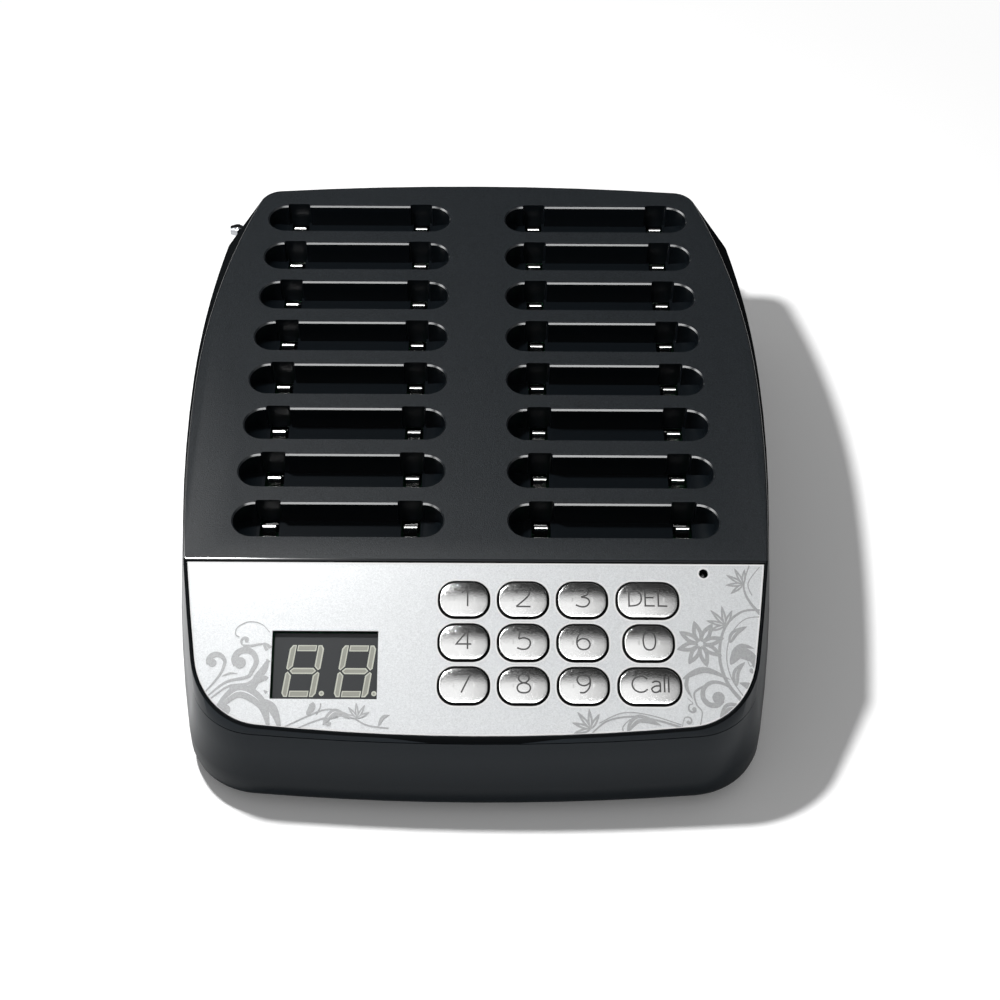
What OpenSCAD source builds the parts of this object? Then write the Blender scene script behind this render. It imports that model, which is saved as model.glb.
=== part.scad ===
// Keypad transmitter and charging base of a guest pager system.
// X is to the right, Y to the rear, Z up. The origin is under the middle of the whole box.
// The top is two flat planes that meet in a level line: the deck, which rises to the rear and
// holds the pager slots, and the control panel, which falls to the front. Sizes named *_y are
// taken from that line, forward negative.

/* [Case] */
// Half width of the deck at its widest place
deck_half_w = 119.6; // [117:0.1:124]
// Distance of the deck's widest place behind the ridge line
deck_wide_y = 94; // [80:1:110]
// Distance from the ridge line to the rear edge of the deck
deck_l = 222.4; // [216:0.1:240]
// Distance from the ridge line to the front edge of the panel rim
panel_run = 64.5; // [62:0.1:70]
// Height of the ridge line where deck and panel meet
ridge_z = 71; // [64:0.5:80]
// Tilt of the deck, rising to the rear, in degrees
deck_tilt = 4.35; // [2:0.05:6]
// Slope of the control panel, falling to the front, in degrees
panel_tilt = 24.9; // [22:0.1:26]
// Sideways curve of the case behind its widest place
side_rear_r = 391; // [370:1:430]
// Sideways curve of the case in front of its widest place
side_front_r = 807; // [700:5:1000]
// Curve of the rear edge
rear_bow_r = 1076; // [800:10:1600]
// Curve of the front edge
front_bow_r = 940; // [800:10:1400]
// Rounding of the rear corners
rear_corner_r = 10.5; // [7:0.5:14]
// Rounding of the front corners
front_corner_r = 29; // [22:0.5:34]
// Rounding of the top edge all round
edge_r = 0.8; // [0.5:0.1:1]
// How far the case flares out from the deck to the parting line, at its widest
flare = 6.8; // [5:0.1:8]
// Height of the parting line under the front edge of the rim
seam_drop = 1.7; // [1.5:0.1:3]
// Slope of the parting line, rising to the rear, in degrees
seam_tilt = 4.5; // [3.5:0.1:5]
// How far the lower wall bulges past the parting line
belly = 4.2; // [3:0.1:5]
// Wall of the top cover and of the base
wall = 2.6; // [2:0.1:3]
// Play between the top cover and the base
seam_gap = 0.5; // [0.2:0.05:0.6]

/* [Pager slots] */
// Length of one slot, end to end
slot_l = 84.8; // [80:0.1:88]
// Width of one slot's mouth, front to rear
slot_w = 17.6; // [16:0.1:18.4]
// Chamfer round the mouth of a slot
mouth_c = 0.6; // [0.3:0.1:0.8]
// Depth of one slot
slot_d = 11.5; // [10:0.1:12.5]
// Distance from the ridge line to the middle of the first row
slot_first = 19.5; // [18.5:0.1:21.5]
// Distance from the middle of the last row to the rear edge of the deck
slot_last = 23; // [21:0.1:26]
// Width of the bridge between the left and right slots
slot_bridge = 24.8; // [24:0.1:30]
// Radius of the scooped ends of a slot
scoop_r = 9; // [6:0.5:10]
// Wall round a slot's well, and under its floor
well_wall = 1.6; // [1.2:0.1:2]
// Width of the notch behind each charging contact
notch_w = 10.2; // [8:0.1:11]
// Depth of that notch into the rear edge of the slot's mouth
notch_d = 1.1; // [0.8:0.1:2]

/* [Charging contacts] */
// Distance between the two contacts of one slot
contact_gap = 57; // [50:0.1:58]
// Width of a contact leaf
leaf_w = 5.2; // [3.5:0.1:5.6]
// Thickness of a contact leaf
leaf_t = 0.3; // [0.2:0.05:0.4]
// Depth of the leaf's crest under the deck
crest_depth = 9.6; // [8:0.1:10]
// Depth of the charging board's upper face under the deck
board_depth = 19; // [18:0.1:22]

/* [Control panel] */
// Depth of the recess that the silver panel lies in
recess_d = 1.5; // [1.2:0.1:2]
// Thickness of the silver panel
panel_t = 1; // [0.8:0.1:1.1]
// Width of the dark rim outside the recess
rim_w = 1; // [0.8:0.1:1.6]
// Gap between the silver panel and the rim
panel_gap = 0.6; // [0.3:0.05:0.8]
// Width of the rim between the deck and the panel's recess
ridge_rim = 0.9; // [0.5:0.1:1.5]
// Thickness of the wall under the silver panel
deckplate_t = 2.2; // [1.8:0.1:2.6]
// Width of the display window
window_w = 40.7; // [40:0.1:43]
// Height of the display window
window_h = 26.7; // [26:0.1:28]
// Middle of the window to the left of the middle of the case
window_x = 57.6; // [56:0.1:60]
// Middle of the window down the slope from the ridge line
window_s = 42.3; // [38:0.1:44]
// Height of a display digit
digit_h = 20.3; // [16:0.1:21]
// Distance from digit to digit
digit_pitch = 20; // [18:0.1:20]
// Diameter of the indicator hole
led_hole_d = 3.7; // [3.3:0.1:4.5]

/* [Keys] */
// Width of a number key
key_w = 19.8; // [18:0.1:20.4]
// Width of a word key
wide_key_w = 24.3; // [22:0.1:25]
// Height of a key along the slope
key_h = 14.8; // [13:0.1:15]
// Rounding of a key's corners
key_corner = 6.6; // [4:0.1:7]
// Distance between key columns
key_pitch_x = 22.8; // [22.2:0.1:23.4]
// Distance from the third column to the column of word keys
wide_pitch_x = 25.3; // [25:0.1:27]
// Distance between key rows down the slope
key_pitch_s = 16.95; // [16.9:0.05:17.5]
// Middle of the first column from the middle of the case
key_first_x = -4.4; // [-6:0.1:-3]
// Middle of the first row down the slope from the ridge line
key_first_s = 16.4; // [16:0.1:17]
// Height of a key above the silver panel
key_rise = 2.6; // [1.5:0.1:3]
// Travel of a key
key_travel = 1.2; // [0.8:0.1:1.4]
// Play round a key
key_play = 0.3; // [0.2:0.05:0.4]

/* [Antenna] */
// Radius of the antenna's outer tube
tube_r = 3.5; // [3.2:0.1:3.8]
// Wall of each antenna tube
tube_wall = 0.4; // [0.3:0.05:0.42]
// Play between two antenna tubes
tube_fit = 0.05; // [0.03:0.01:0.06]
// Length of the outer tube
tube_l = 210; // [190:1:212]
// Radius of the knob at the tip
knob_r = 3; // [2.5:0.1:3.4]
// Antenna axis behind the rear edge of the deck
antenna_back = 9; // [8:0.1:11]
// Height of the antenna axis when it is folded
antenna_z = 54.5; // [50:0.1:55]
// Pivot of the antenna to the right of the middle of the case
antenna_x = 98; // [90:1:100]

/* [Base] */
// Height of the rubber feet
foot_h = 3; // [2:0.5:4]
// Radius of a rubber foot
foot_r = 8; // [6:0.5:10]
// Radius of a case screw's shank
screw_r = 1.5; // [1.3:0.1:1.7]

/* [Hidden] */
$fn = 48;

row_count = 8;
slot_pitch = (deck_l - slot_first - slot_last) / (row_count - 1);
slot_r = slot_w / 2;
well_r = slot_r - mouth_c;     // half width of the well under the chamfered mouth
slot_mid_x = (slot_bridge + slot_l) / 2;
far = 400;       // longer than any side of the case
over = 1;        // how far a cut runs past a face

// ---- case outlines, seen from above -----------------------------------------------------

function on_circle(c, r, a) = [c[0] + r * cos(a), c[1] + r * sin(a)];
function arc(c, r, a0, a1, n) = [for (i = [0:n]) on_circle(c, r, a0 + (a1 - a0) * i / n)];
function direction(from, to) = atan2(to[1] - from[1], to[0] - from[0]);

// Middle of the corner circle that touches a side circle and an end circle from inside.
// Side -1 takes the crossing in front, +1 the one behind.
function corner_centre(cs, rs, ce, re, side) =
    let (v = ce - cs, d = norm(v), a = (rs * rs - re * re + d * d) / (2 * d),
         h = sqrt(rs * rs - a * a))
    cs + v * a / d + side * h * [-v[1], v[0]] / d;

// Right half of a barrel outline, from the middle of the front to the middle of the rear.
function half_barrel(hw, wy, front_y, rear_y, rs_f, rs_r, bow_f, bow_r, r_f, r_r) =
    let (csf = [hw - rs_f, wy], csr = [hw - rs_r, wy],
         cef = [0, front_y + bow_f], cer = [0, rear_y - bow_r],
         qf = corner_centre(csf, rs_f - r_f, cef, bow_f - r_f, -1),
         qr = corner_centre(csr, rs_r - r_r, cer, bow_r - r_r, 1),
         ef = direction(cef, qf), sf = direction(csf, qf),
         sr = direction(csr, qr), er = direction(cer, qr))
    concat(arc(cef, bow_f, -90, ef, 5), arc(qf, r_f, ef, sf, 13), arc(csf, rs_f, sf, 0, 8),
           arc(csr, rs_r, 0, sr, 9), arc(qr, r_r, sr, er, 8), arc(cer, bow_r, er, 90, 4));

function mirrored(half) = [for (i = [len(half) - 1:-1:0]) [-half[i][0], half[i][1]]];
function whole(half) = concat(half, mirrored(half));

// Outline of the deck and rim, moved out by d.
function deck_outline(d) = whole(half_barrel(deck_half_w + d, deck_wide_y, -panel_run - d,
    deck_l + d, side_front_r + d, side_rear_r + d, front_bow_r + d, rear_bow_r + d,
    front_corner_r + d, rear_corner_r + d));

// Outline of the parting line, moved out by d, and its front pushed out further by push.
// It is widest further back than the deck.
seam_wide_y = deck_wide_y + 30;
seam_rear_r = side_rear_r * 1.345;
seam_front_r = side_front_r * 0.97;
seam_step = 0.6;
seam_corner_r = 9;
seam_front_corner_r = front_corner_r - 2.5;
function seam_outline(d, push = 0) = whole(half_barrel(deck_half_w + flare + d, seam_wide_y,
    -panel_run - seam_step - d - push, deck_l + seam_step + d, seam_front_r + d,
    seam_rear_r + d, front_bow_r + d, rear_bow_r + d, seam_front_corner_r + d,
    seam_corner_r + d));

// Half width of the deck outline at the ridge line.
function ridge_half_w(d) = deck_half_w - side_front_r
    + sqrt(pow(side_front_r + d, 2) - pow(deck_wide_y, 2));

// Heights of the planes over a point y.
function top_z(y) = ridge_z + (y < 0 ? y * tan(panel_tilt) : y * tan(deck_tilt));
rim_front_z = top_z(-panel_run);
function seam_z(y) = rim_front_z - seam_drop + (y + panel_run) * tan(seam_tilt);

function lift(points, drop) = [for (p = points) [p[0], p[1], top_z(p[1]) - drop]];
function top_ring(d, drop) = concat(lift(deck_outline(d), drop),
    [for (s = [-1, 1]) [s * ridge_half_w(d), 0, ridge_z - drop]]);
function seam_ring(d, drop) = [for (p = seam_outline(d)) [p[0], p[1], seam_z(p[1]) - drop]];
function level_ring(d, z, push = 0) = [for (p = seam_outline(d, push)) [p[0], p[1], z]];

// The smooth closed form through rings of points.
module form(points) {
    hull() polyhedron(points, [[for (i = [0:len(points) - 1]) i]]);
}

module on_deck() { translate([0, 0, ridge_z]) rotate([deck_tilt, 0, 0]) children(); }
module on_panel() { translate([0, 0, ridge_z]) rotate([panel_tilt, 0, 0]) children(); }

// ---- the whole box, for the place of the origin -----------------------------------------

antenna_y = deck_l + antenna_back;
belly_push = 0.6;
front_reach = -panel_run - seam_step - belly - belly_push;
rear_reach = antenna_y + tube_r;
mid_y = (front_reach + rear_reach) / 2;
module placed() { translate([0, -mid_y, 0]) children(); }

// ---- places of what repeats -------------------------------------------------------------

function slot_s(row) = slot_first + (row_count - row) * slot_pitch;   // row 1 is the rearmost

case_screw_places = [[-96, -26], [96, -26], [-110.5, deck_wide_y], [110.5, deck_wide_y],
    [0, slot_first + slot_pitch / 2], [0, deck_l - 13]];
board_screw_s = [60, 165];
boss_r = 3.6;
pilot_r = 1.2;
notch_corner = 1;
boss_foot_z = 36;          // where the cover's posts meet the base's posts

// Outline of the well of one slot, moved out by extra.
module slot_2d(extra = 0) {
    l = slot_l - 2 * mouth_c + 2 * extra;
    w = 2 * well_r + 2 * extra;
    square([l - w, w], center = true);
    for (s = [-1, 1]) translate([s * (l - w) / 2, 0]) circle(d = w);
}

module each_slot() {
    for (row = [1:row_count], side = [-1, 1])
        translate([side * slot_mid_x, slot_s(row), 0]) children();
}

// Chamfered mouth of one slot.
module slot_mouth() {
    for (s = [-1, 1]) translate([s * (slot_l - slot_w) / 2, 0, -mouth_c])
        cylinder(r1 = well_r, r2 = slot_r + over, h = mouth_c + over);
    rotate([90, 0, 90]) linear_extrude(slot_l - slot_w, center = true)
        polygon([[-well_r, -mouth_c], [well_r, -mouth_c],
                 [slot_r + over, over], [-slot_r - over, over]]);
}

// Hollow of one slot: straight walls, scooped at both ends, open above.
module slot_hollow() {
    l = slot_l - 2 * mouth_c;
    intersection() {
        translate([0, 0, -slot_d]) linear_extrude(slot_d + over) slot_2d();
        rotate([90, 0, 0]) linear_extrude(slot_w + over, center = true) union() {
            translate([-l / 2, -slot_d + scoop_r]) square([l, slot_d]);
            translate([-l / 2 + scoop_r, -slot_d]) square([l - 2 * scoop_r, slot_d]);
            for (s = [-1, 1])
                translate([s * (l / 2 - scoop_r), -slot_d + scoop_r]) circle(scoop_r);
        }
    }
    slot_mouth();
    for (s = [-1, 1])
        translate([s * contact_gap / 2, 0, -slot_d]) linear_extrude(slot_d + over) notch_2d();
}

// Notch behind a contact, with rounded corners.
module notch_2d() {
    rear = slot_r + notch_d;
    translate([-notch_w / 2, 0]) square([notch_w, rear - notch_corner]);
    translate([-notch_w / 2 + notch_corner, 0]) square([notch_w - 2 * notch_corner, rear]);
    for (s = [-1, 1])
        translate([s * (notch_w / 2 - notch_corner), rear - notch_corner]) circle(notch_corner);
}

// ---- top cover ---------------------------------------------------------------------------

leaf_window_w = leaf_w + 2.6;
leaf_window_front = 7.4;      // front edge of a leaf's window, behind the slot's mouth

// The level slab between two depths under the panel plane, cut to the outline moved in by d.
module panel_slab(d, upper, lower, back = 0) {
    intersection() {
        linear_extrude(ridge_z + over) polygon(deck_outline(-d));
        on_panel() translate([-far / 2, -far - back, -lower]) cube([far, far, lower - upper]);
    }
}

module cover_posts() {
    for (p = case_screw_places)
        translate([p[0], p[1], boss_foot_z + seam_gap])
            cylinder(r = boss_r, h = top_z(p[1]) - boss_foot_z - wall);
    on_deck() for (s = board_screw_s)
        translate([0, s, -board_depth]) cylinder(r = boss_r, h = board_depth - wall / 2);
    on_panel() for (p = main_board_screws)
        translate([p[0], -p[1], -main_board_depth])
            cylinder(r = 2.8, h = main_board_depth - recess_d - over);
}

module post_bores() {
    for (p = case_screw_places)
        translate([p[0], p[1], boss_foot_z]) cylinder(r = screw_r - 0.05, h = 12);
    on_deck() for (s = board_screw_s)
        translate([0, s, -board_depth - over]) cylinder(r = pilot_r, h = 9);
    on_panel() for (p = main_board_screws)
        translate([p[0], -p[1], -main_board_depth - over]) cylinder(r = pilot_r, h = 6);
}

module top_cover() color([0.16, 0.17, 0.18]) placed() {
    difference() {
        union() {
            difference() {
                form(concat(top_ring(-edge_r, 0), top_ring(-edge_r * 0.5, edge_r * 0.13),
                            top_ring(-edge_r * 0.13, edge_r * 0.5), top_ring(0, edge_r),
                            seam_ring(0, 0)));
                form(concat(top_ring(-wall, wall), seam_ring(-wall, 0.5)));
            }
            panel_slab(wall + 0.3, recess_d - 0.5, recess_d + deckplate_t);
            on_deck() each_slot() translate([0, 0, -slot_d - well_wall])
                linear_extrude(slot_d + well_wall - wall / 2) slot_2d(well_wall);
            on_deck() each_slot() for (s = [-1, 1])
                translate([s * contact_gap / 2 - notch_w / 2 - well_wall, 0,
                           -slot_d - well_wall])
                    cube([notch_w + 2 * well_wall, slot_r + notch_d + well_wall,
                          slot_d + well_wall - wall / 2]);
            cover_posts();
        }
        panel_slab(rim_w, -20, recess_d, ridge_rim);
        on_deck() each_slot() slot_hollow();
        on_deck() each_slot() for (s = [-1, 1])
            translate([s * contact_gap / 2 - leaf_window_w / 2,
                       -slot_r + leaf_window_front, -slot_d - well_wall - over])
                cube([leaf_window_w, slot_w + notch_d - leaf_window_front,
                      well_wall + 2 * over]);
        on_panel() key_cuts(key_play + 0.1);
        on_panel() window_cut(0.3);
        on_panel() translate([led_x, -led_s, -recess_d - deckplate_t - over])
            cylinder(d = led_hole_d, h = recess_d + deckplate_t + 2 * over);
        post_bores();
    }
}

// ---- control panel -----------------------------------------------------------------------

led_x = 88.6;
led_s = 5.3;
main_board_depth = 9.6;
main_board_screws = [[-86, 10], [-86, 56], [-26, 9], [87, 33], [87, 58]];

module rounded_rect(w, h, r) {
    square([w - 2 * r, h], center = true);
    square([w, h - 2 * r], center = true);
    for (x = [-1, 1], y = [-1, 1]) translate([x * (w / 2 - r), y * (h / 2 - r)]) circle(r);
}

// Place of key number i, counted along the rows: x and distance down the slope.
function key_x(i) = key_first_x + min(i % 4, 2) * key_pitch_x
    + (i % 4 == 3 ? wide_pitch_x : 0);
function key_s(i) = key_first_s + floor(i / 4) * key_pitch_s;
function key_width(i) = i % 4 == 3 && i != 7 ? wide_key_w : key_w;

module key_cuts(play) {
    for (i = [0:11])
        translate([key_x(i), -key_s(i), -recess_d - deckplate_t - over])
            linear_extrude(recess_d + deckplate_t + 2 * over)
                rounded_rect(key_width(i) + 2 * play, key_h + 2 * play, key_corner + play);
}

module window_cut(play) {
    translate([-window_x - window_w / 2 - play, -window_s - window_h / 2 - play,
               -recess_d - deckplate_t - over])
        cube([window_w + 2 * play, window_h + 2 * play, recess_d + deckplate_t + 2 * over]);
}

module silver_panel() color([0.8, 0.81, 0.82]) placed() {
    difference() {
        panel_slab(rim_w + panel_gap, recess_d - panel_t, recess_d, ridge_rim + panel_gap);
        on_panel() key_cuts(key_play);
        on_panel() window_cut(0);
        on_panel() translate([led_x, -led_s, -recess_d - over])
            cylinder(d = led_hole_d, h = recess_d + 2 * over);
    }
}

// Flange under the wall keeps each key in; the top is domed both ways.
key_flange = 1;
key_flange_out = 0.9;
key_dome_r = 34;
key_under = recess_d + deckplate_t + 0.2;
key_top = key_rise - recess_d;

module keycap(i) color([0.78, 0.79, 0.8]) placed() on_panel()
    translate([key_x(i), -key_s(i), 0]) {
        intersection() {
            translate([0, 0, -key_under - key_flange])
                linear_extrude(key_top + key_under + key_flange)
                    rounded_rect(key_width(i), key_h, key_corner);
            translate([0, 0, key_top - key_dome_r]) rotate([0, 90, 0])
                cylinder(r = key_dome_r, h = far, center = true, $fn = 96);
            translate([0, 0, key_top - 2 * key_dome_r]) rotate([90, 0, 0])
                cylinder(r = 2 * key_dome_r, h = far, center = true, $fn = 96);
        }
        translate([0, 0, -key_under - key_flange]) linear_extrude(key_flange)
            rounded_rect(key_width(i) + 2 * key_flange_out, key_h + 2 * key_flange_out,
                         key_corner + key_flange_out);
    }

// ---- electronics -------------------------------------------------------------------------

pcb_t = 1.6;
mat_sheet_t = 1.2;
mat_pad_top = key_under + key_flange + key_travel + 0.15;
mat_margin = 3;

module keypad_mat() color([0.35, 0.36, 0.38]) placed() on_panel() {
    x0 = key_x(0) - key_w / 2 - mat_margin;
    x1 = key_x(3) + wide_key_w / 2 + mat_margin;
    s0 = key_first_s - key_h / 2 - 1;
    s1 = key_s(8) + key_h / 2 + mat_margin;
    translate([x0, -s1, -main_board_depth]) cube([x1 - x0, s1 - s0, mat_sheet_t]);
    for (i = [0:11])
        translate([key_x(i), -key_s(i), -main_board_depth + mat_sheet_t])
            linear_extrude(main_board_depth - mat_sheet_t - mat_pad_top)
                rounded_rect(key_width(i) - 6, key_h - 4, 3);
}

module main_board() color([0.1, 0.35, 0.2]) placed() on_panel() {
    difference() {
        translate([-91, -62, -main_board_depth - pcb_t]) cube([184, 59, pcb_t]);
        for (p = main_board_screws)
            translate([p[0], -p[1], -main_board_depth - pcb_t - over])
                cylinder(r = 1.6, h = pcb_t + 2 * over);
        for (p = case_screw_places) if (p[1] < 0)
            translate([p[0], p[1] / cos(panel_tilt) - 4, -main_board_depth - pcb_t / 2])
                cube([14, 22, 2 * pcb_t], center = true);
    }
}

module indicator_led() color([0.9, 0.9, 0.85]) placed() on_panel()
    translate([led_x, -led_s, -main_board_depth]) {
        cylinder(r = 1.5, h = 5.2);
        translate([0, 0, 5.2]) sphere(r = 1.5);
        cylinder(r = 1.9, h = 1);
    }

module buzzer() color([0.08, 0.08, 0.09]) placed() on_panel()
    translate([-20, -24, -main_board_depth - pcb_t - 8.5]) difference() {
        cylinder(r = 6, h = 8.5);
        translate([0, 0, -over]) cylinder(r = 1, h = 3);
    }

// Two-digit display: a dark block that carries slanted segments in its face.
module_w = window_w - 1;
module_h = window_h - 1;
module_x = -window_x + 0.3;
module_top = 3;             // its face, under the plane of the rim
slant = 8.5;
segment_w = 2.4;
segment_t = 0.5;
segment_gap = 0.5;
digit_w = digit_h * 0.645;
digits_x = -window_x + 1.65;      // middle between the digits
digits_s = window_s + 1.9;

// Middle segment, pointed at both ends.
module middle_bar() {
    l = digit_w - segment_w - segment_gap;
    t = segment_w / 2;
    polygon([[-l / 2, 0], [-l / 2 + t, t], [l / 2 - t, t],
             [l / 2, 0], [l / 2 - t, -t], [-l / 2 + t, -t]]);
}

// Upper right segment: its outer corner is cut off and its foot slopes.
module side_bar() {
    x = digit_w / 2;
    y = digit_h / 2;
    foot = segment_gap / 2;
    polygon([[x - segment_w, y], [x - segment_w * 0.4, y], [x, y - segment_w * 0.6],
             [x, foot + segment_w * 0.3], [x - segment_w * 0.35, foot],
             [x - segment_w, foot + segment_w * 0.65]]);
}

module digit_2d() {
    end = digit_w - 2 * segment_w - 2 * segment_gap;
    multmatrix([[1, tan(slant), 0, 0], [0, 1, 0, 0], [0, 0, 1, 0], [0, 0, 0, 1]]) {
        middle_bar();
        for (s = [-1, 1])
            translate([0, s * (digit_h - segment_w) / 2]) square([end, segment_w], center = true);
        for (x = [0, 1], y = [0, 1]) mirror([x, 0]) mirror([0, y]) side_bar();
    }
    translate([digit_w / 2 + 0.85, -digit_h / 2 + 1.4]) circle(r = 1);
}

module segment_solids(h) {
    for (s = [-1, 1])
        translate([digits_x + s * digit_pitch / 2, -digits_s, -module_top - segment_t])
            linear_extrude(h) digit_2d();
}

module display_module() color([0.12, 0.12, 0.13]) placed() on_panel() difference() {
    translate([module_x - module_w / 2, -window_s - module_h / 2, -main_board_depth])
        cube([module_w, module_h, main_board_depth - module_top]);
    segment_solids(segment_t + over);
}

module display_segments() color([0.75, 0.76, 0.72]) placed() on_panel()
    segment_solids(segment_t);

// ---- charging board and its contacts -----------------------------------------------------

crest_s = 4.6;           // crest of a leaf, behind the middle of its slot
leaf_reach = 6.4;        // from the crest back to the leaf's foot
board_front = 6;
board_half_w = 104;
board_rear = slot_s(1) + crest_s + leaf_reach + 4;

module charging_board() color([0.1, 0.35, 0.2]) placed() difference() {
    on_deck() translate([0, 0, -board_depth - pcb_t]) linear_extrude(pcb_t) difference() {
        intersection() {
            translate([-board_half_w, board_front])
                square([2 * board_half_w, board_rear - board_front]);
            polygon(deck_outline(-wall - 1));
        }
        for (s = board_screw_s) translate([0, s]) circle(r = 1.6);
    }
    for (p = case_screw_places) translate([p[0], p[1], 0])
        cylinder(r = boss_r + 1, h = ridge_z + 10);
}

// Leaf of one contact, seen from the side: (0, 0) is the roll at its foot, u to the front.
// It rises to its crest under the slot and ends in a steep tail.
holder_h = 1.6;
roll_r = 0.5;
bend_depth = board_depth - holder_h - roll_r - 0.05;
holder_s = crest_s + leaf_reach;       // the roll, from the middle of the slot
crest_r = 1;
tail_l = 4;
tail_a = -74;
flank = [leaf_reach, bend_depth - crest_depth];
flank_a = atan2(flank[1] - crest_r, flank[0]) + asin(crest_r / norm([flank[0],
    flank[1] - crest_r]));

function leaf_path(off) = let (c = [flank[0], flank[1] - crest_r], r = crest_r - off)
    concat([[off * sin(flank_a), -off * cos(flank_a)]],
           arc(c, r, flank_a + 90, tail_a + 90, 10),
           [on_circle(c, r, tail_a + 90) + tail_l * [cos(tail_a), sin(tail_a)]]);
function reversed(v) = [for (i = [len(v) - 1:-1:0]) v[i]];

module leaf() {
    translate([leaf_w / 2, holder_s, -bend_depth]) rotate([90, 0, -90]) {
        linear_extrude(leaf_w) polygon(concat(leaf_path(0), reversed(leaf_path(leaf_t))));
        cylinder(r = roll_r, h = leaf_w);
    }
}

module contact_pair(row, side) color([0.85, 0.86, 0.88]) placed() on_deck()
    translate([side * slot_mid_x, slot_s(row), 0])
        for (s = [-1, 1]) translate([s * contact_gap / 2, 0, 0]) leaf();

module contact_holders() color([0.2, 0.2, 0.22]) placed() on_deck() each_slot()
    for (s = [-1, 1])
        translate([s * contact_gap / 2 - leaf_w / 2 - 0.6, holder_s - 2.6, -board_depth])
            cube([leaf_w + 1.2, 5, holder_h]);

// ---- base --------------------------------------------------------------------------------

floor_z = foot_h;
belly_z = floor_z + 6;
base_inset = 1.8;
jack_x = -48;
jack_z = 28;
jack_w = 9;
jack_h = 11;
jack_bore_r = 2.85;
jack_pin_r = 1.05;
switch_x = -18;
switch_z = 28;
switch_w = 19;
switch_h = 12.5;
switch_bezel = 1.5;
rocker_tilt = 9;
rocker_pivot = -2.9;
rocker_face = 3.9;
rocker_half = switch_w / 2 - 2.7;
bush_r = 3.6;
bush_flange_r = 4.6;
land_t = wall + 1.8;       // the wall with its flat lands inside and outside, at the bush
foot_places = [[-92, -42], [92, -42], [-96, 190], [96, 190]];
rear_y = deck_l + seam_step;
upper_belly = belly * 0.95;
upper_belly_z = belly_z + 9;

// Outer face of the rear wall at a place x and a height z.
function rear_face(x, z) = rear_y - rear_bow_r + sqrt(pow(rear_bow_r, 2) - x * x)
    + upper_belly * (seam_z(rear_y) - z) / (seam_z(rear_y) - upper_belly_z);

// Ring of the rounded lower edge, a degrees up its quarter ellipse.
function foot_ring(a) = let (d = -base_inset + (belly + base_inset) * sin(a))
    level_ring(d, belly_z - (belly_z - floor_z) * cos(a), belly_push * sin(a));

module base_outer() {
    form(concat(foot_ring(0), foot_ring(22), foot_ring(45), foot_ring(68), foot_ring(90),
                level_ring(upper_belly, upper_belly_z, belly_push),
                seam_ring(0, seam_gap)));
}

module base_inner() {
    form(concat(level_ring(-base_inset - wall, floor_z + wall),
                level_ring(belly - wall - 0.4, belly_z + 2, belly_push),
                level_ring(upper_belly - wall, upper_belly_z, belly_push),
                seam_ring(-wall, -over)));
}

jack_seat = rear_face(jack_x - jack_w / 2 - 1, jack_z + jack_h / 2 + 1) - 0.2;
switch_seat = rear_face(switch_x - switch_w / 2 - 1.3, switch_z + switch_h / 2 + 1.3) - 0.2;
antenna_seat = rear_face(antenna_x - bush_flange_r, antenna_z) + 0.6;

// Hole of w by h in the rear wall with a flat seat round it, wider by lip.
module rear_opening(x, z, w, h, seat, lip) {
    translate([x - w / 2 - 0.1, seat - 10, z - h / 2 - 0.1]) cube([w + 0.2, 30, h + 0.2]);
    translate([x - w / 2 - lip, seat, z - h / 2 - lip]) cube([w + 2 * lip, 10, h + 2 * lip]);
}

module base_housing() color([0.13, 0.14, 0.15]) placed() difference() {
    union() {
        difference() { base_outer(); base_inner(); }
        for (p = case_screw_places)
            translate([p[0], p[1], floor_z + wall / 2])
                cylinder(r = boss_r, h = boss_foot_z - floor_z - wall / 2);
        translate([antenna_x, antenna_seat - land_t, antenna_z]) rotate([-90, 0, 0])
            cylinder(r = bush_flange_r + 0.4, h = land_t);
    }
    // bore for the antenna's bush, openings with flat seats for the socket and the switch
    translate([antenna_x, antenna_seat - 30, antenna_z]) rotate([-90, 0, 0])
        cylinder(r = bush_r, h = 40);
    rear_opening(jack_x, jack_z, jack_w, jack_h, jack_seat, 1);
    rear_opening(switch_x, switch_z, switch_w, switch_h, switch_seat, 1.3);
    for (p = case_screw_places) translate([p[0], p[1], 0]) {
        translate([0, 0, floor_z - over]) cylinder(r = screw_r + 0.2, h = far / 8);
        translate([0, 0, floor_z - over]) cylinder(r = screw_r + 1.6, h = 21 + over);
    }
}

module screw(r, l, head_r, head_h) {
    cylinder(r = r, h = l);
    translate([0, 0, -head_h]) cylinder(r = head_r, h = head_h);
}

module case_screws() color([0.7, 0.7, 0.72]) placed()
    for (p = case_screw_places) translate([p[0], p[1], floor_z + 21])
        screw(screw_r - 0.1, boss_foot_z - floor_z - 21 + 10, screw_r + 1.4, 2);

module board_screws() color([0.7, 0.7, 0.72]) placed() {
    on_deck() for (s = board_screw_s) translate([0, s, -board_depth - pcb_t - 0.05])
        screw(pilot_r - 0.05, 7.5, 2.4, 1.6);
    on_panel() for (p = main_board_screws)
        translate([p[0], -p[1], -main_board_depth - pcb_t - 0.05])
            screw(pilot_r - 0.05, 5.5, 2.4, 1.6);
}

module rubber_feet() color([0.06, 0.06, 0.06]) placed()
    for (p = foot_places) translate([p[0], p[1], 0]) {
        cylinder(r = foot_r - 0.8, h = foot_h);
        translate([0, 0, 0.8]) cylinder(r = foot_r, h = foot_h - 0.8);
    }

// ---- rear sockets and switch -------------------------------------------------------------

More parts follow.
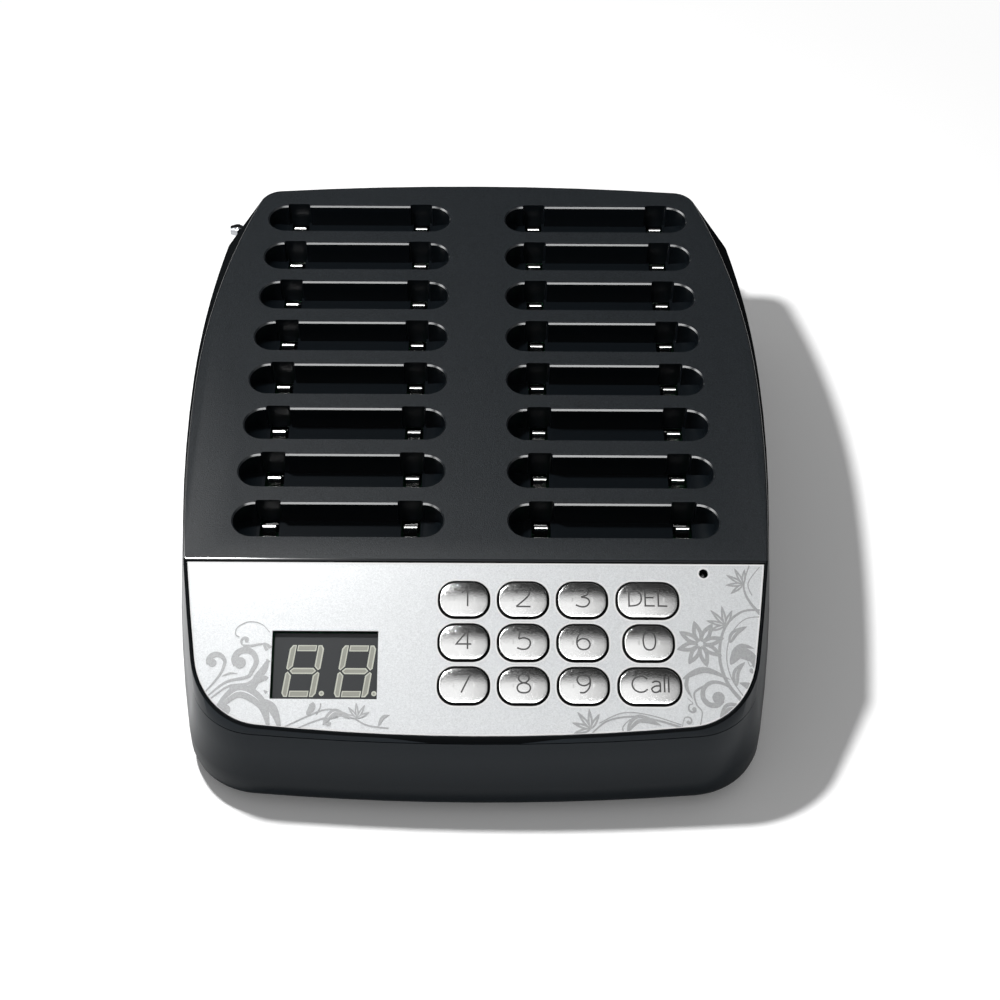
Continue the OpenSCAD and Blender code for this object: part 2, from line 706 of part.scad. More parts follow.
module dc_jack() color([0.07, 0.07, 0.07]) placed()
    translate([jack_x, jack_seat, jack_z]) {
        difference() {
            translate([-jack_w / 2, -12, -jack_h / 2]) cube([jack_w, 12.6, jack_h]);
            translate([0, over, 0]) rotate([90, 0, 0]) cylinder(r = jack_bore_r, h = 10.5);
        }
        rotate([90, 0, 0]) cylinder(r = jack_pin_r, h = 10);
    }

module power_switch_frame() color([0.07, 0.07, 0.07]) placed()
    translate([switch_x, switch_seat, switch_z]) difference() {
        union() {
            translate([-switch_w / 2, -14, -switch_h / 2]) cube([switch_w, 15, switch_h]);
            translate([-switch_w / 2 - 1, 0.05, -switch_h / 2 - 1])
                cube([switch_w + 2, switch_bezel, switch_h + 2]);
        }
        translate([-switch_w / 2 + 1.6, -9, -switch_h / 2 + 1.6])
            cube([switch_w - 3.2, 14, switch_h - 3.2]);
        translate([0, rocker_pivot, -switch_h]) cylinder(r = 1.05, h = 2 * switch_h);
    }

// The rocker rests with its left end pressed in.
module power_rocker() color([0.1, 0.1, 0.1]) placed()
    translate([switch_x, switch_seat + rocker_pivot, switch_z]) rotate(rocker_tilt) {
        linear_extrude(switch_h - 3.8, center = true)
            polygon([[-rocker_half, -2], [rocker_half, -2],
                     [rocker_half, rocker_face + rocker_half * tan(rocker_tilt)],
                     [0, rocker_face],
                     [-rocker_half, rocker_face + rocker_half * tan(rocker_tilt)]]);
        cylinder(r = 1, h = switch_h - 0.4, center = true);
    }

// ---- antenna -----------------------------------------------------------------------------

stub_r = 2.2;
ear_gap = 3.6;
ear_t = 1.7;
ear_r = 3.2;
tongue_t = ear_gap - 0.4;
pin_r = 1;

module at_antenna() { translate([antenna_x, antenna_y, antenna_z]) children(); }
wall_out = antenna_seat - antenna_y;   // the bush's seat, from the antenna's axis

module antenna_bush() color([0.72, 0.73, 0.75]) placed() at_antenna() rotate([-90, 0, 0])
    difference() {
        union() {
            translate([0, 0, wall_out - land_t - 3.6])
                cylinder(r = bush_r - 0.05, h = land_t + 3.8);
            translate([0, 0, wall_out + 0.05]) cylinder(r = bush_flange_r, h = 1.2);
        }
        translate([0, 0, wall_out - land_t - 6]) cylinder(r = stub_r + 0.05, h = 20);
    }

module antenna_nut() color([0.72, 0.73, 0.75]) placed() at_antenna() rotate([-90, 0, 0])
    translate([0, 0, wall_out - land_t - 2.65]) difference() {
        rotate(30) cylinder(r = bush_r + 2.2, h = 2.6, $fn = 6);
        translate([0, 0, -over]) cylinder(r = bush_r, h = 5, $fn = 48);
    }

module antenna_swivel() color([0.8, 0.81, 0.83]) placed() at_antenna() difference() {
    union() {
        rotate([-90, 0, 0]) translate([0, 0, wall_out - land_t - 4.6])
            cylinder(r = stub_r, h = land_t + 6.4);
        rotate([-90, 0, 0]) translate([0, 0, wall_out + 1.6])
            cylinder(r = ear_gap / 2 + ear_t, h = -wall_out - 1.6 - ear_r - 0.2);
        rotate([-90, 0, 0]) translate([0, 0, wall_out - land_t - 5])
            cylinder(r = stub_r + 1, h = 1.1);
        for (s = [-1, 1]) translate([0, 0, s * (ear_gap + ear_t) / 2])
            linear_extrude(ear_t, center = true) {
                circle(r = ear_r);
                translate([-ear_r, -ear_r - 1]) square([2 * ear_r, ear_r + 1]);
            }
    }
    cylinder(r = pin_r + 0.02, h = 20, center = true);
}

module antenna_pin() color([0.6, 0.6, 0.62]) placed() at_antenna()
    cylinder(r = pin_r, h = ear_gap + 2 * ear_t + 0.4, center = true);

function section_r(i) = tube_r - (i - 1) * (tube_wall + tube_fit);
neck = 4.4;                    // from the pin to the start of the tube
nest = 0.6;                    // each tube starts this much further in than the one outside it
plug_l = 5;

// Hollow tube number i, lying along -X from the pivot.
module section(i) {
    start = neck + (i - 1) * nest;
    l = tube_l - neck - (i - 1) * nest;
    rotate([0, -90, 0]) difference() {
        translate([0, 0, start]) cylinder(r = section_r(i), h = l);
        translate([0, 0, start + (i == 1 ? plug_l : 0.4)])
            cylinder(r = section_r(i) - tube_wall, h = l);
    }
}

module antenna_tube_1() color([0.85, 0.86, 0.88]) placed() at_antenna() {
    section(1);
    difference() {
        union() {
            cylinder(r = ear_r - 0.2, h = tongue_t, center = true);
            translate([-neck - 1, -ear_r + 0.6, -tongue_t / 2])
                cube([neck + 1, 2 * ear_r - 1.2, tongue_t]);
        }
        cylinder(r = pin_r + 0.05, h = 20, center = true);
    }
}

module inner_section(i) color([0.85, 0.86, 0.88]) placed() at_antenna()
    translate([-plug_l, 0, 0]) rotate([0, -90, 0]) difference() {
        translate([0, 0, neck + (i - 1) * nest])
            cylinder(r = section_r(i), h = tube_l - neck - plug_l - (i - 1) * nest + 0.4 * i);
        translate([0, 0, neck + (i - 1) * nest + 0.4])
            cylinder(r = section_r(i) - tube_wall, h = tube_l);
    }
module antenna_tube_2() inner_section(2);
module antenna_tube_3() inner_section(3);
module antenna_tube_4() inner_section(4);

module antenna_tip() color([0.88, 0.89, 0.9]) placed() at_antenna() rotate([0, -90, 0]) {
    translate([0, 0, neck + plug_l + 4 * nest])
        cylinder(r = section_r(5), h = tube_l - neck - plug_l - 4 * nest + 4);
    translate([0, 0, tube_l + 2.6]) rotate_extrude()
        polygon([[0, 0], [1.9, 0], [knob_r, 2.2], [knob_r, 3.6], [2.2, 6.4], [0, 6.6]]);
}

// ---- drawing -----------------------------------------------------------------------------

top_cover();
base_housing();
silver_panel();
display_module();
display_segments();
keypad_mat();
main_board();
indicator_led();
buzzer();
charging_board();
contact_holders();
case_screws();
board_screws();
rubber_feet();
dc_jack();
power_switch_frame();
power_rocker();
antenna_bush();
antenna_nut();
antenna_swivel();
antenna_pin();
antenna_tube_1();
antenna_tube_2();
antenna_tube_3();
antenna_tube_4();
antenna_tip();
keycap(0);  // key_1
keycap(1);  // key_2
keycap(2);  // key_3
keycap(3);  // key_delete
keycap(4);  // key_4
keycap(5);  // key_5
keycap(6);  // key_6
keycap(7);  // key_0
keycap(8);  // key_7
keycap(9);  // key_8
keycap(10);  // key_9
keycap(11);  // key_call
contact_pair(1, -1);  // contacts_l1
contact_pair(2, -1);  // contacts_l2
contact_pair(3, -1);  // contacts_l3
contact_pair(4, -1);  // contacts_l4
contact_pair(5, -1);  // contacts_l5
contact_pair(6, -1);  // contacts_l6
contact_pair(7, -1);  // contacts_l7
contact_pair(8, -1);  // contacts_l8
contact_pair(1, 1);  // contacts_r1
contact_pair(2, 1);  // contacts_r2
contact_pair(3, 1);  // contacts_r3
contact_pair(4, 1);  // contacts_r4
contact_pair(5, 1);  // contacts_r5
contact_pair(6, 1);  // contacts_r6
contact_pair(7, 1);  // contacts_r7
contact_pair(8, 1);  // contacts_r8
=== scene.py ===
"""Looks of a keypad transmitter with charging slots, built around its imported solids.

Sizes in the classes are millimetres in the frame of the part. They are turned into metres
where a mesh is made.
"""

import logging
import math
from dataclasses import dataclass, field
from enum import Enum
from typing import Any, Callable, Sequence

import bmesh
import bpy
from mathutils import Matrix, Vector


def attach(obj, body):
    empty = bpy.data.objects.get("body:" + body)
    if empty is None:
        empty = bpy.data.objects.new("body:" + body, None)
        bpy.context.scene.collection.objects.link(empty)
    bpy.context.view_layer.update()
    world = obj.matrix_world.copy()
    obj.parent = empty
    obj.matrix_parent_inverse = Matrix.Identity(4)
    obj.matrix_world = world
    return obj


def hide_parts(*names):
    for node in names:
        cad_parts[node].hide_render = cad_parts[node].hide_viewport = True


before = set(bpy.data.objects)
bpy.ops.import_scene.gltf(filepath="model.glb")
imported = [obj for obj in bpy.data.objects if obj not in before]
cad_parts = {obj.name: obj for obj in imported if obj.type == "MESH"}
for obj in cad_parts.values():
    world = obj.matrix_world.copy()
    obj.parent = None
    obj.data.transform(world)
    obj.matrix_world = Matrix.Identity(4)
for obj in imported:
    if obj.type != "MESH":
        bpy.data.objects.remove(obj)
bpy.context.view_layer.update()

MM = 0.001
# Least cosine that the mitre of a bend is worked out with.
MITRE = 0.5
UP = Vector((0.0, 0.0, 1.0))
WHITE = (1.0, 1.0, 1.0)
log = logging.getLogger("pager_base")

Point2 = tuple[float, float]
Colour = tuple[float, float, float]


# ---- shader maths ------------------------------------------------------------------------


class Wire:
    """One socket of a node tree, for use in Python expressions."""

    def __init__(self, board: "Board", socket: bpy.types.NodeSocket) -> None:
        """Keeps the socket and the board that it is on."""
        self.board = board
        self.socket = socket

    def __add__(self, other: Any) -> "Wire":
        """Sum of two values."""
        return self.board.maths("ADD", self, other)

    __radd__ = __add__

    def __sub__(self, other: Any) -> "Wire":
        """Difference of two values."""
        return self.board.maths("SUBTRACT", self, other)

    def __rsub__(self, other: Any) -> "Wire":
        """A number less this value."""
        return self.board.maths("SUBTRACT", other, self)

    def __mul__(self, other: Any) -> "Wire":
        """Product of two values."""
        return self.board.maths("MULTIPLY", self, other)

    __rmul__ = __mul__

    def clamped(self, low: float = 0.0, high: float = 1.0) -> "Wire":
        """This value kept between two limits."""
        return self.board.maths("MAXIMUM", self.board.maths("MINIMUM", self, high), low)


class Board:
    """The node tree of one material or of the world."""

    def __init__(self, tree: bpy.types.NodeTree) -> None:
        """Empties the tree."""
        self.tree = tree
        tree.nodes.clear()

    def node(self, kind: str, settings: dict[str, Any] | None = None,
             values: dict[Any, Any] | None = None) -> bpy.types.Node:
        """Adds a node of any kind.

        Args:
            kind: the node's type name, such as ShaderNodeTexNoise.
            settings: attributes that are set first.
            values: numbers, colours, wires or sockets for its inputs, by name or number.

        Returns:
            The node.
        """
        made = self.tree.nodes.new(kind)
        for name, value in (settings or {}).items():
            setattr(made, name, value)
        for name, value in (values or {}).items():
            self._feed(made.inputs[name], value)
        return made

    def _feed(self, socket: bpy.types.NodeSocket, value: Any) -> None:
        """Links a wire or socket to the input, or sets its value.

        Args:
            socket: the input.
            value: a wire, a socket, a number or a colour.
        """
        if isinstance(value, Wire):
            self.tree.links.new(value.socket, socket)
        elif isinstance(value, bpy.types.NodeSocket):
            self.tree.links.new(value, socket)
        else:
            socket.default_value = value

    def out(self, node: bpy.types.Node, name: Any = 0) -> Wire:
        """An output of a node as a wire."""
        return Wire(self, node.outputs[name])

    def maths(self, operation: str, first: Any, second: Any) -> Wire:
        """The result of a Math node on two values."""
        return self.out(self.node("ShaderNodeMath", {"operation": operation},
                                  {0: first, 1: second}))

    def blend(self, share: Any, first: Any, second: Any) -> Wire:
        """A mix of two colours.

        Args:
            share: how much of the second colour shows.
            first: a wire or a colour.
            second: a wire or a colour.

        Returns:
            The mixed colour.
        """
        first, second = [(*c, 1.0) if isinstance(c, tuple) else c for c in (first, second)]
        mix = self.node("ShaderNodeMix", {"data_type": "RGBA"}, {0: share, 6: first, 7: second})
        return self.out(mix, 2)

    def mixed(self, share: Any, first: Wire, second: Wire) -> Wire:
        """A Mix Shader of two shaders, with the share of the second one."""
        return self.out(self.node("ShaderNodeMixShader", None, {0: share, 1: first, 2: second}))

    def matt(self, colour: Colour) -> Wire:
        """A matt shader of one colour."""
        return self.out(self.node("ShaderNodeBsdfDiffuse", None, {"Color": (*colour, 1.0)}))

    def glow(self, strength: Any) -> Wire:
        """White light of a strength."""
        return self.out(self.node("ShaderNodeEmission", None, {
            "Color": (*WHITE, 1.0), "Strength": strength}))

    def seen_by(self, *rays: str) -> Wire:
        """One where the light path is of any of the kinds of ray.

        Args:
            rays: kinds of ray, such as Camera.

        Returns:
            A value of one or zero.
        """
        path = self.node("ShaderNodeLightPath")
        total = self.out(path, f"Is {rays[0]} Ray")
        for ray in rays[1:]:
            total += self.out(path, f"Is {ray} Ray")
        return total.clamped()

    def end(self, kind: str, shader: Wire) -> None:
        """Leads a shader to the output node of a Material, Light or World."""
        self.node("ShaderNodeOutput" + kind, None, {"Surface": shader})

    def place(self) -> Wire:
        """Object coordinates, which are metres in the frame of the part."""
        return self.out(self.node("ShaderNodeTexCoord"), "Object")

    def noise(self, grain: float, detail: float = 2.0, rough: float = 0.5) -> Wire:
        """Noise whose lumps are about one grain across.

        Args:
            grain: size of a lump in millimetres.
            detail: number of finer layers.
            rough: strength of the finer layers.

        Returns:
            A value that varies about one half.
        """
        scale = 1.0 / (grain * MM)
        made = self.node("ShaderNodeTexNoise", None, {
            "Vector": self.place(), "Scale": scale, "Detail": detail, "Roughness": rough})
        return self.out(made, "Fac")

    def flakes(self, grain: float) -> Wire:
        """A random value for each cell of about one grain across.

        Args:
            grain: size of a cell in millimetres.

        Returns:
            A value between zero and one.
        """
        made = self.node("ShaderNodeTexVoronoi", {"feature": "F1"},
                         {"Vector": self.place(), "Scale": 1.0 / (grain * MM)})
        return self.out(self.node("ShaderNodeSeparateColor", None, {0: self.out(made, "Color")}))


# ---- finishes ----------------------------------------------------------------------------


@dataclass(frozen=True)
class Finish:
    """A surface finish: one colour with fine speckle and grain.

    Grains, relief and patches are millimetres. The foot is painted shade towards the floor; its
    fade is metres.
    """

    name: str
    colour: Colour
    roughness: float = 0.5
    metallic: float = 0.0
    speckle: float = 0.0
    grain: float = 0.5
    relief: float = 0.0
    uneven: float = 0.06
    patch: float = 40.0
    contrast: float = 0.5
    coat: float = 0.0
    coat_roughness: float = 0.1
    sheen_level: float = 0.5
    # Painted shade towards the floor: below the fade height the finish gives way to a darker
    # matt copy of its colour, down to a share of foot at the bottom.
    foot: float = 1.0
    painted_foot_shade: float = 0.3
    fade: float = 0.03

    def material(self) -> bpy.types.Material:
        """The finish as a material, made once.

        Returns:
            The material.
        """
        name = "finish_" + self.name
        known = bpy.data.materials.get(name)
        if known:
            return known
        made = bpy.data.materials.new(name)
        made.use_nodes = True
        board = Board(made.node_tree)
        board.end("Material", self.surface(board))
        return made

    def surface(self, board: Board) -> Wire:
        """The finish's shader.

        Args:
            board: the node tree that it is made on.

        Returns:
            The shader, with painted shade that darkens it towards the floor where the finish has
            a foot.
        """
        spots = board.noise(self.grain, 3.0, 0.6)
        gloss = board.noise(self.patch)
        shader = self.shader(board, (spots - 0.5) * self.speckle, gloss, spots, self.relief)
        if self.foot == 1.0:
            return shader
        # Painted shade: darker and matt towards the floor.
        height = board.out(board.node("ShaderNodeSeparateXYZ", None, {0: board.place()}), "Z")
        share = (height * ((1.0 - self.foot) / self.fade) + self.foot).clamped()
        return board.mixed(share, board.matt(self.scaled(self.painted_foot_shade)), shader)

    def scaled(self, factor: float) -> Colour:
        """The finish's colour times a factor, up to white."""
        return tuple(min(1.0, c * factor) for c in self.colour)

    def shader(self, board: Board, shade: Wire, gloss: Wire, height: Wire,
               relief: float) -> Wire:
        """The plastic, paint or metal itself.

        Args:
            board: the node tree that it is made on.
            shade: a value about zero that lightens or darkens the colour.
            gloss: a value about one half that makes the roughness uneven.
            height: height of the bumps.
            relief: their depth in millimetres, or zero for none.

        Returns:
            The shader.
        """
        dark, light = self.scaled(1.0 - self.contrast), self.scaled(1.0 + self.contrast)
        values: dict[Any, Any] = {
            "Base Color": board.blend((shade + 0.5).clamped(), dark, light),
            "Metallic": self.metallic,
            "Roughness": (self.roughness + (gloss - 0.5) * self.uneven).clamped(0.02),
            "Specular IOR Level": self.sheen_level,
            "Coat Weight": self.coat,
            "Coat Roughness": self.coat_roughness,
        }
        if relief:
            values["Normal"] = board.out(board.node("ShaderNodeBump", None, {
                "Strength": 1.0, "Distance": relief * MM, "Height": height}))
        return board.out(board.node("ShaderNodeBsdfPrincipled", None, values))


@dataclass(frozen=True)
class FlakePaint(Finish):
    """Silver paint whose flakes tilt the light this way and that."""

    contrast: float = 0.45
    flake: float = 0.3
    flake_tilt: float = 0.05
    cloud: float = 3.0

    def surface(self, board: Board) -> Wire:
        """The paint's shader.

        Args:
            board: the node tree that it is made on.

        Returns:
            The shader.
        """
        flakes = board.flakes(self.flake)
        clouds = board.noise(self.flake * self.cloud)
        shade = (flakes - 0.5) * self.speckle + (clouds - 0.5) * self.speckle
        return self.shader(board, shade, flakes, flakes * 0.5 + clouds, self.flake_tilt)


class Paint(Enum):
    """The finishes of the object."""

    DECK = Finish("deck_plastic", (0.0105, 0.0128, 0.0150), 0.5, speckle=3.0, grain=0.5,
                  relief=0.14, sheen_level=0.25)
    # Painted shade: the cover's flank is a darker, unreflecting copy of the base plastic.
    FLANK = Finish("cover_flank_painted_shade", (0.008, 0.009, 0.010), 0.35, speckle=0.3, sheen_level=0.0)
    # Painted shade: the insides of the slots and the contact holders are much darker than the
    # deck plastic.
    SLOT = Finish("slot_inside_painted_shade", (0.0035, 0.0050, 0.0065), 0.3, speckle=0.3, sheen_level=0.12)
    LIP = Finish("polished_edge", (0.012, 0.014, 0.016), 0.16, speckle=0.2, sheen_level=0.62)
    # The base plastic has painted shade that darkens it towards the floor.
    BASE = Finish("base_plastic", (0.013, 0.018, 0.023), 0.3, speckle=0.3, grain=0.5,
                  sheen_level=0.15, foot=0.2)
    SILVER = FlakePaint("silver_print", (0.64, 0.655, 0.665), 0.36, 0.35, speckle=0.2,
                        flake=0.3, flake_tilt=0.006)
    # Painted highlight: white bands that stand for light caught by the panel's edges.
    EDGE = Finish("painted_highlight_panel_edge", (1.0, 1.0, 1.0), 0.4, speckle=0.05)
    INK = FlakePaint("ornament_ink", (0.35, 0.355, 0.36), 0.42, 0.3, speckle=0.25, flake=0.3,
                     flake_tilt=0.006)
    KEY = FlakePaint("key_silver", (0.97, 0.97, 0.96), 0.15, 1.0, speckle=0.1, flake=0.4,
                     flake_tilt=0.012, uneven=0.1)
    KEY_SIDE = Finish("key_side", (0.010, 0.010, 0.010), 0.4, speckle=0.2, sheen_level=0.0)
    LABEL = Finish("key_label", (0.035, 0.035, 0.035), 0.5, speckle=0.3, grain=0.3)
    DISPLAY = Finish("display_face", (0.030, 0.032, 0.034), 0.5, speckle=0.15, grain=0.6,
                     sheen_level=0.2)
    SEGMENT = Finish("segment_fill", (0.27, 0.275, 0.235), 0.5, speckle=0.2, grain=0.8)
    SEGMENT_EDGE = Finish("segment_edge", (0.50, 0.51, 0.44), 0.45, speckle=0.1, grain=0.8)
    SILICONE = Finish("keypad_silicone", (0.06, 0.06, 0.065), 0.7, speckle=0.2)
    CIRCUIT = Finish("circuit_board_green", (0.02, 0.11, 0.05), 0.35, speckle=0.5, grain=2.0)
    LENS = Finish("indicator_lens", (0.02, 0.02, 0.02), 0.15, speckle=0.1, coat=0.5)
    BLACK = Finish("black_fittings", (0.012, 0.012, 0.013), 0.34, speckle=0.3)
    STEEL = Finish("zinc_steel", (0.62, 0.62, 0.64), 0.32, 1.0, speckle=0.1, grain=0.8)
    RUBBER = Finish("foot_rubber", (0.02, 0.02, 0.021), 0.75, speckle=0.3, relief=0.02)
    CHROME = Finish("antenna_chrome", (0.40, 0.41, 0.43), 0.08, 1.0, speckle=0.06, grain=3.0,
                    uneven=0.02)
    NICKEL = Finish("contact_nickel", (0.78, 0.77, 0.74), 0.20, 1.0, speckle=0.15, grain=0.6)


# ---- mesh helpers ------------------------------------------------------------------------


class Tilt(Enum):
    """The sloping planes of the top, as turns about X in degrees."""

    DECK = 4.35
    PANEL = 24.9

    def normal(self) -> Vector:
        """The plane's normal, which points up."""
        return Matrix.Rotation(math.radians(self.value), 3, "X") @ UP


@dataclass(frozen=True)
class Ridge:
    """The level line where the deck and the panel meet."""

    back: float = -82.5
    height: float = 71.0

    def matrix(self, plane: Tilt) -> Matrix:
        """Turns millimetres on a sloping plane into metres in the frame of the part.

        Args:
            plane: the plane that x and y lie in; z is along its normal.

        Returns:
            The matrix.
        """
        place = Matrix.Translation((0.0, self.back, self.height))
        return Matrix.Scale(MM, 4) @ place @ Matrix.Rotation(math.radians(plane.value), 4, "X")


RIDGE = Ridge()


class Shop:
    """Makes finished pieces out of meshes."""

    # Distance in metres within which the corners of a solid's triangles are one.
    WELD = 2e-6
    # Cosine above which a face counts as lying in a flat face's plane.
    ALIGNED = 0.99999

    @staticmethod
    def stand(name: str, data: bpy.types.ID) -> bpy.types.Object:
        """Adds an object of a name to the scene, for its mesh, camera or light.

        Args:
            name: the object's name.
            data: its mesh, camera or light.

        Returns:
            The object.
        """
        made = bpy.data.objects.new(name, data)
        bpy.context.scene.collection.objects.link(made)
        return made

    @staticmethod
    def face_up(face: bmesh.types.BMFace) -> None:
        """Turns a flat face so that it looks along the plane's normal.

        Args:
            face: the face.
        """
        face.normal_update()
        if face.normal.z < 0:
            face.normal_flip()

    @staticmethod
    def piece(mesh: bmesh.types.BMesh, name: str, paints: Sequence[Paint], body: str,
              place: Matrix | None = None) -> bpy.types.Object:
        """Turns a mesh into a piece that rides on a body.

        Args:
            mesh: the mesh, which is freed.
            name: the piece's name.
            paints: its finishes, one for each material number of its faces.
            body: the body that it rides on.
            place: where the mesh goes in the frame of the part.

        Returns:
            The piece.
        """
        if place is not None:
            bmesh.ops.transform(mesh, matrix=place, verts=mesh.verts)
        data = bpy.data.meshes.new(name)
        mesh.to_mesh(data)
        mesh.free()
        made = Shop.stand(name, data)
        for paint in paints:
            data.materials.append(paint.value.material())
        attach(made, body)
        log.info("%s rides on %s", name, body)
        return made

    @staticmethod
    def smooth(mesh: bmesh.types.BMesh, limit: float, flats: Sequence[Vector] = ()) -> None:
        """Shades a mesh smooth, with sharp edges where it folds and round flat faces.

        Args:
            mesh: the mesh.
            limit: the fold in degrees past which an edge is sharp.
            flats: normals of flat faces that keep their edges.
        """
        mesh.normal_update()
        fold = math.cos(math.radians(limit))
        for face in mesh.faces:
            face.smooth = True
        for edge in mesh.edges:
            if len(edge.link_faces) != 2:
                continue
            first, second = (f.normal for f in edge.link_faces)
            on_flat = [any(n.dot(flat) > Shop.ALIGNED for flat in flats)
                       for n in (first, second)]
            edge.smooth = first.dot(second) > fold and on_flat[0] == on_flat[1]

    @staticmethod
    def dressed(node: str, paint: Paint, body: str, limit: float = 35.0,
                flats: Sequence[Vector] = ()) -> bpy.types.Object:
        """A smooth-shaded copy of a solid, which stands for it.

        Args:
            node: the solid's name.
            paint: the finish of the copy.
            body: the body that it rides on.
            limit: the fold in degrees past which an edge is sharp.
            flats: normals of flat faces that keep their edges.

        Returns:
            The copy.
        """
        mesh = bmesh.new()
        mesh.from_mesh(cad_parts[node].data)
        bmesh.ops.remove_doubles(mesh, verts=mesh.verts, dist=Shop.WELD)
        Shop.smooth(mesh, limit, flats)
        made = Shop.piece(mesh, "smooth_" + node, [paint], body)
        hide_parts(node)
        return made

    @staticmethod
    def painted(node: str, paint: Paint) -> None:
        """Gives a solid that shows as it is its finish.

        Args:
            node: the solid's name.
            paint: its finish.
        """
        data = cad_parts[node].data
        data.materials.clear()
        data.materials.append(paint.value.material())

    @staticmethod
    def ring(mesh: bmesh.types.BMesh, points: Sequence[Sequence[float]]) -> list[Any]:
        """A closed loop of edges through points.

        Args:
            mesh: the mesh that gets the loop.
            points: places in three dimensions, in order.

        Returns:
            The loop's edges.
        """
        made = bmesh.ops.create_circle(mesh, segments=len(points), radius=1.0)["verts"]
        for vert, point in zip(made, points):
            vert.co = point
        return list({e for v in made for e in v.link_edges})

    @staticmethod
    def loft(rings: Sequence[Sequence[Sequence[float]]]) -> bmesh.types.BMesh:
        """A closed skin over rings of points, capped at both ends.

        Args:
            rings: loops of points from the bottom to the top, all of one length.

        Returns:
            The mesh, with its faces pointing outwards.
        """
        mesh = bmesh.new()
        loops = [Shop.ring(mesh, points) for points in rings]
        for lower, upper in zip(loops, loops[1:]):
            bmesh.ops.bridge_loops(mesh, edges=lower + upper)
        bmesh.ops.contextual_create(mesh, geom=loops[0])
        bmesh.ops.contextual_create(mesh, geom=loops[-1])
        bmesh.ops.recalc_face_normals(mesh, faces=mesh.faces)
        return mesh


def arc(centre: Point2, radius: float, start: float, end: float, steps: int) -> list[Point2]:
    """Points on a circle's arc, angles in degrees."""
    turns = [math.radians(start + (end - start) * i / steps) for i in range(steps + 1)]
    return [(centre[0] + radius * math.cos(t), centre[1] + radius * math.sin(t)) for t in turns]


def rounded_box(width: float, height: float, radius: float, steps: int = 10) -> list[Point2]:
    """Corner-rounded rectangle round the origin, anticlockwise.

    Args:
        width: its size along x.
        height: its size along y.
        radius: radius of its corners.
        steps: pieces of each corner.

    Returns:
        Its outline.
    """
    x, y = width / 2 - radius, height / 2 - radius
    corners = [(x, y, 0.0), (-x, y, 90.0), (-x, -y, 180.0), (x, -y, 270.0)]
    points: list[Point2] = []
    for cx, cy, start in corners:
        points += arc((cx, cy), radius, start, start + 90.0, steps)
    return points


def smooth_path(points: Sequence[Point2], steps: int = 8) -> list[Point2]:
    """Smooth curve through points.

    Args:
        points: the places that it passes.
        steps: pieces between two of them.

    Returns:
        Points along the curve.
    """
    padded = [points[0], *points, points[-1]]
    path: list[Point2] = []
    for a, b, c, d in zip(padded, padded[1:], padded[2:], padded[3:]):
        for i in range(steps):
            t = i / steps
            path.append(tuple(0.5 * (2 * b[k] + (c[k] - a[k]) * t
                                     + (2 * a[k] - 5 * b[k] + 4 * c[k] - d[k]) * t * t
                                     + (3 * b[k] - a[k] - 3 * c[k] + d[k]) * t**3)
                              for k in (0, 1)))
    return path + [points[-1]]


def divided(path: Sequence[Point2], step: float) -> list[Point2]:
    """The path with points added so that none lie further apart than a step.

    Args:
        path: the points at first.
        step: greatest distance of two of them.

    Returns:
        The points of the denser path.
    """
    points = [path[0]]
    for (ax, ay), (bx, by) in zip(path, path[1:]):
        count = max(1, math.ceil(math.hypot(bx - ax, by - ay) / step))
        points += [(ax + (bx - ax) * i / count, ay + (by - ay) * i / count)
                   for i in range(1, count + 1)]
    return points


def lay_ribbon(mesh: bmesh.types.BMesh, path: Sequence[Point2],
               width: Callable[[float], float],
               height: Callable[[float, float], float], paint: int = 0) -> None:
    """Adds a flat ribbon along a path, mitred where the path bends.

    Args:
        mesh: the mesh that gets it.
        path: points along its middle, y up.
        width: its width at a share of its length.
        height: height of the surface under a place.
        paint: its material number.
    """
    count = len(path)
    grid = bmesh.ops.create_grid(mesh, x_segments=count - 1, y_segments=1, size=1.0)
    verts = sorted(grid["verts"], key=lambda v: (round(v.co.x * 1e4), v.co.y))
    ways = [Vector((bx - ax, by - ay)).normalized()
            for (ax, ay), (bx, by) in zip(path, path[1:])]
    for i, (x, y) in enumerate(path):
        before, after = ways[max(i - 1, 0)], ways[min(i, count - 2)]
        across = (before + after).normalized()
        half = width(i / (count - 1)) / 2 / max(MITRE, across.dot(before))
        for vert, side in zip(verts[2 * i:2 * i + 2], (-1, 1)):
            px, py = x - side * across.y * half, y + side * across.x * half
            vert.co = (px, py, height(px, py))
    for face in {f for v in verts for f in v.link_faces}:
        Shop.face_up(face)
        face.material_index = paint


# ---- case --------------------------------------------------------------------------------


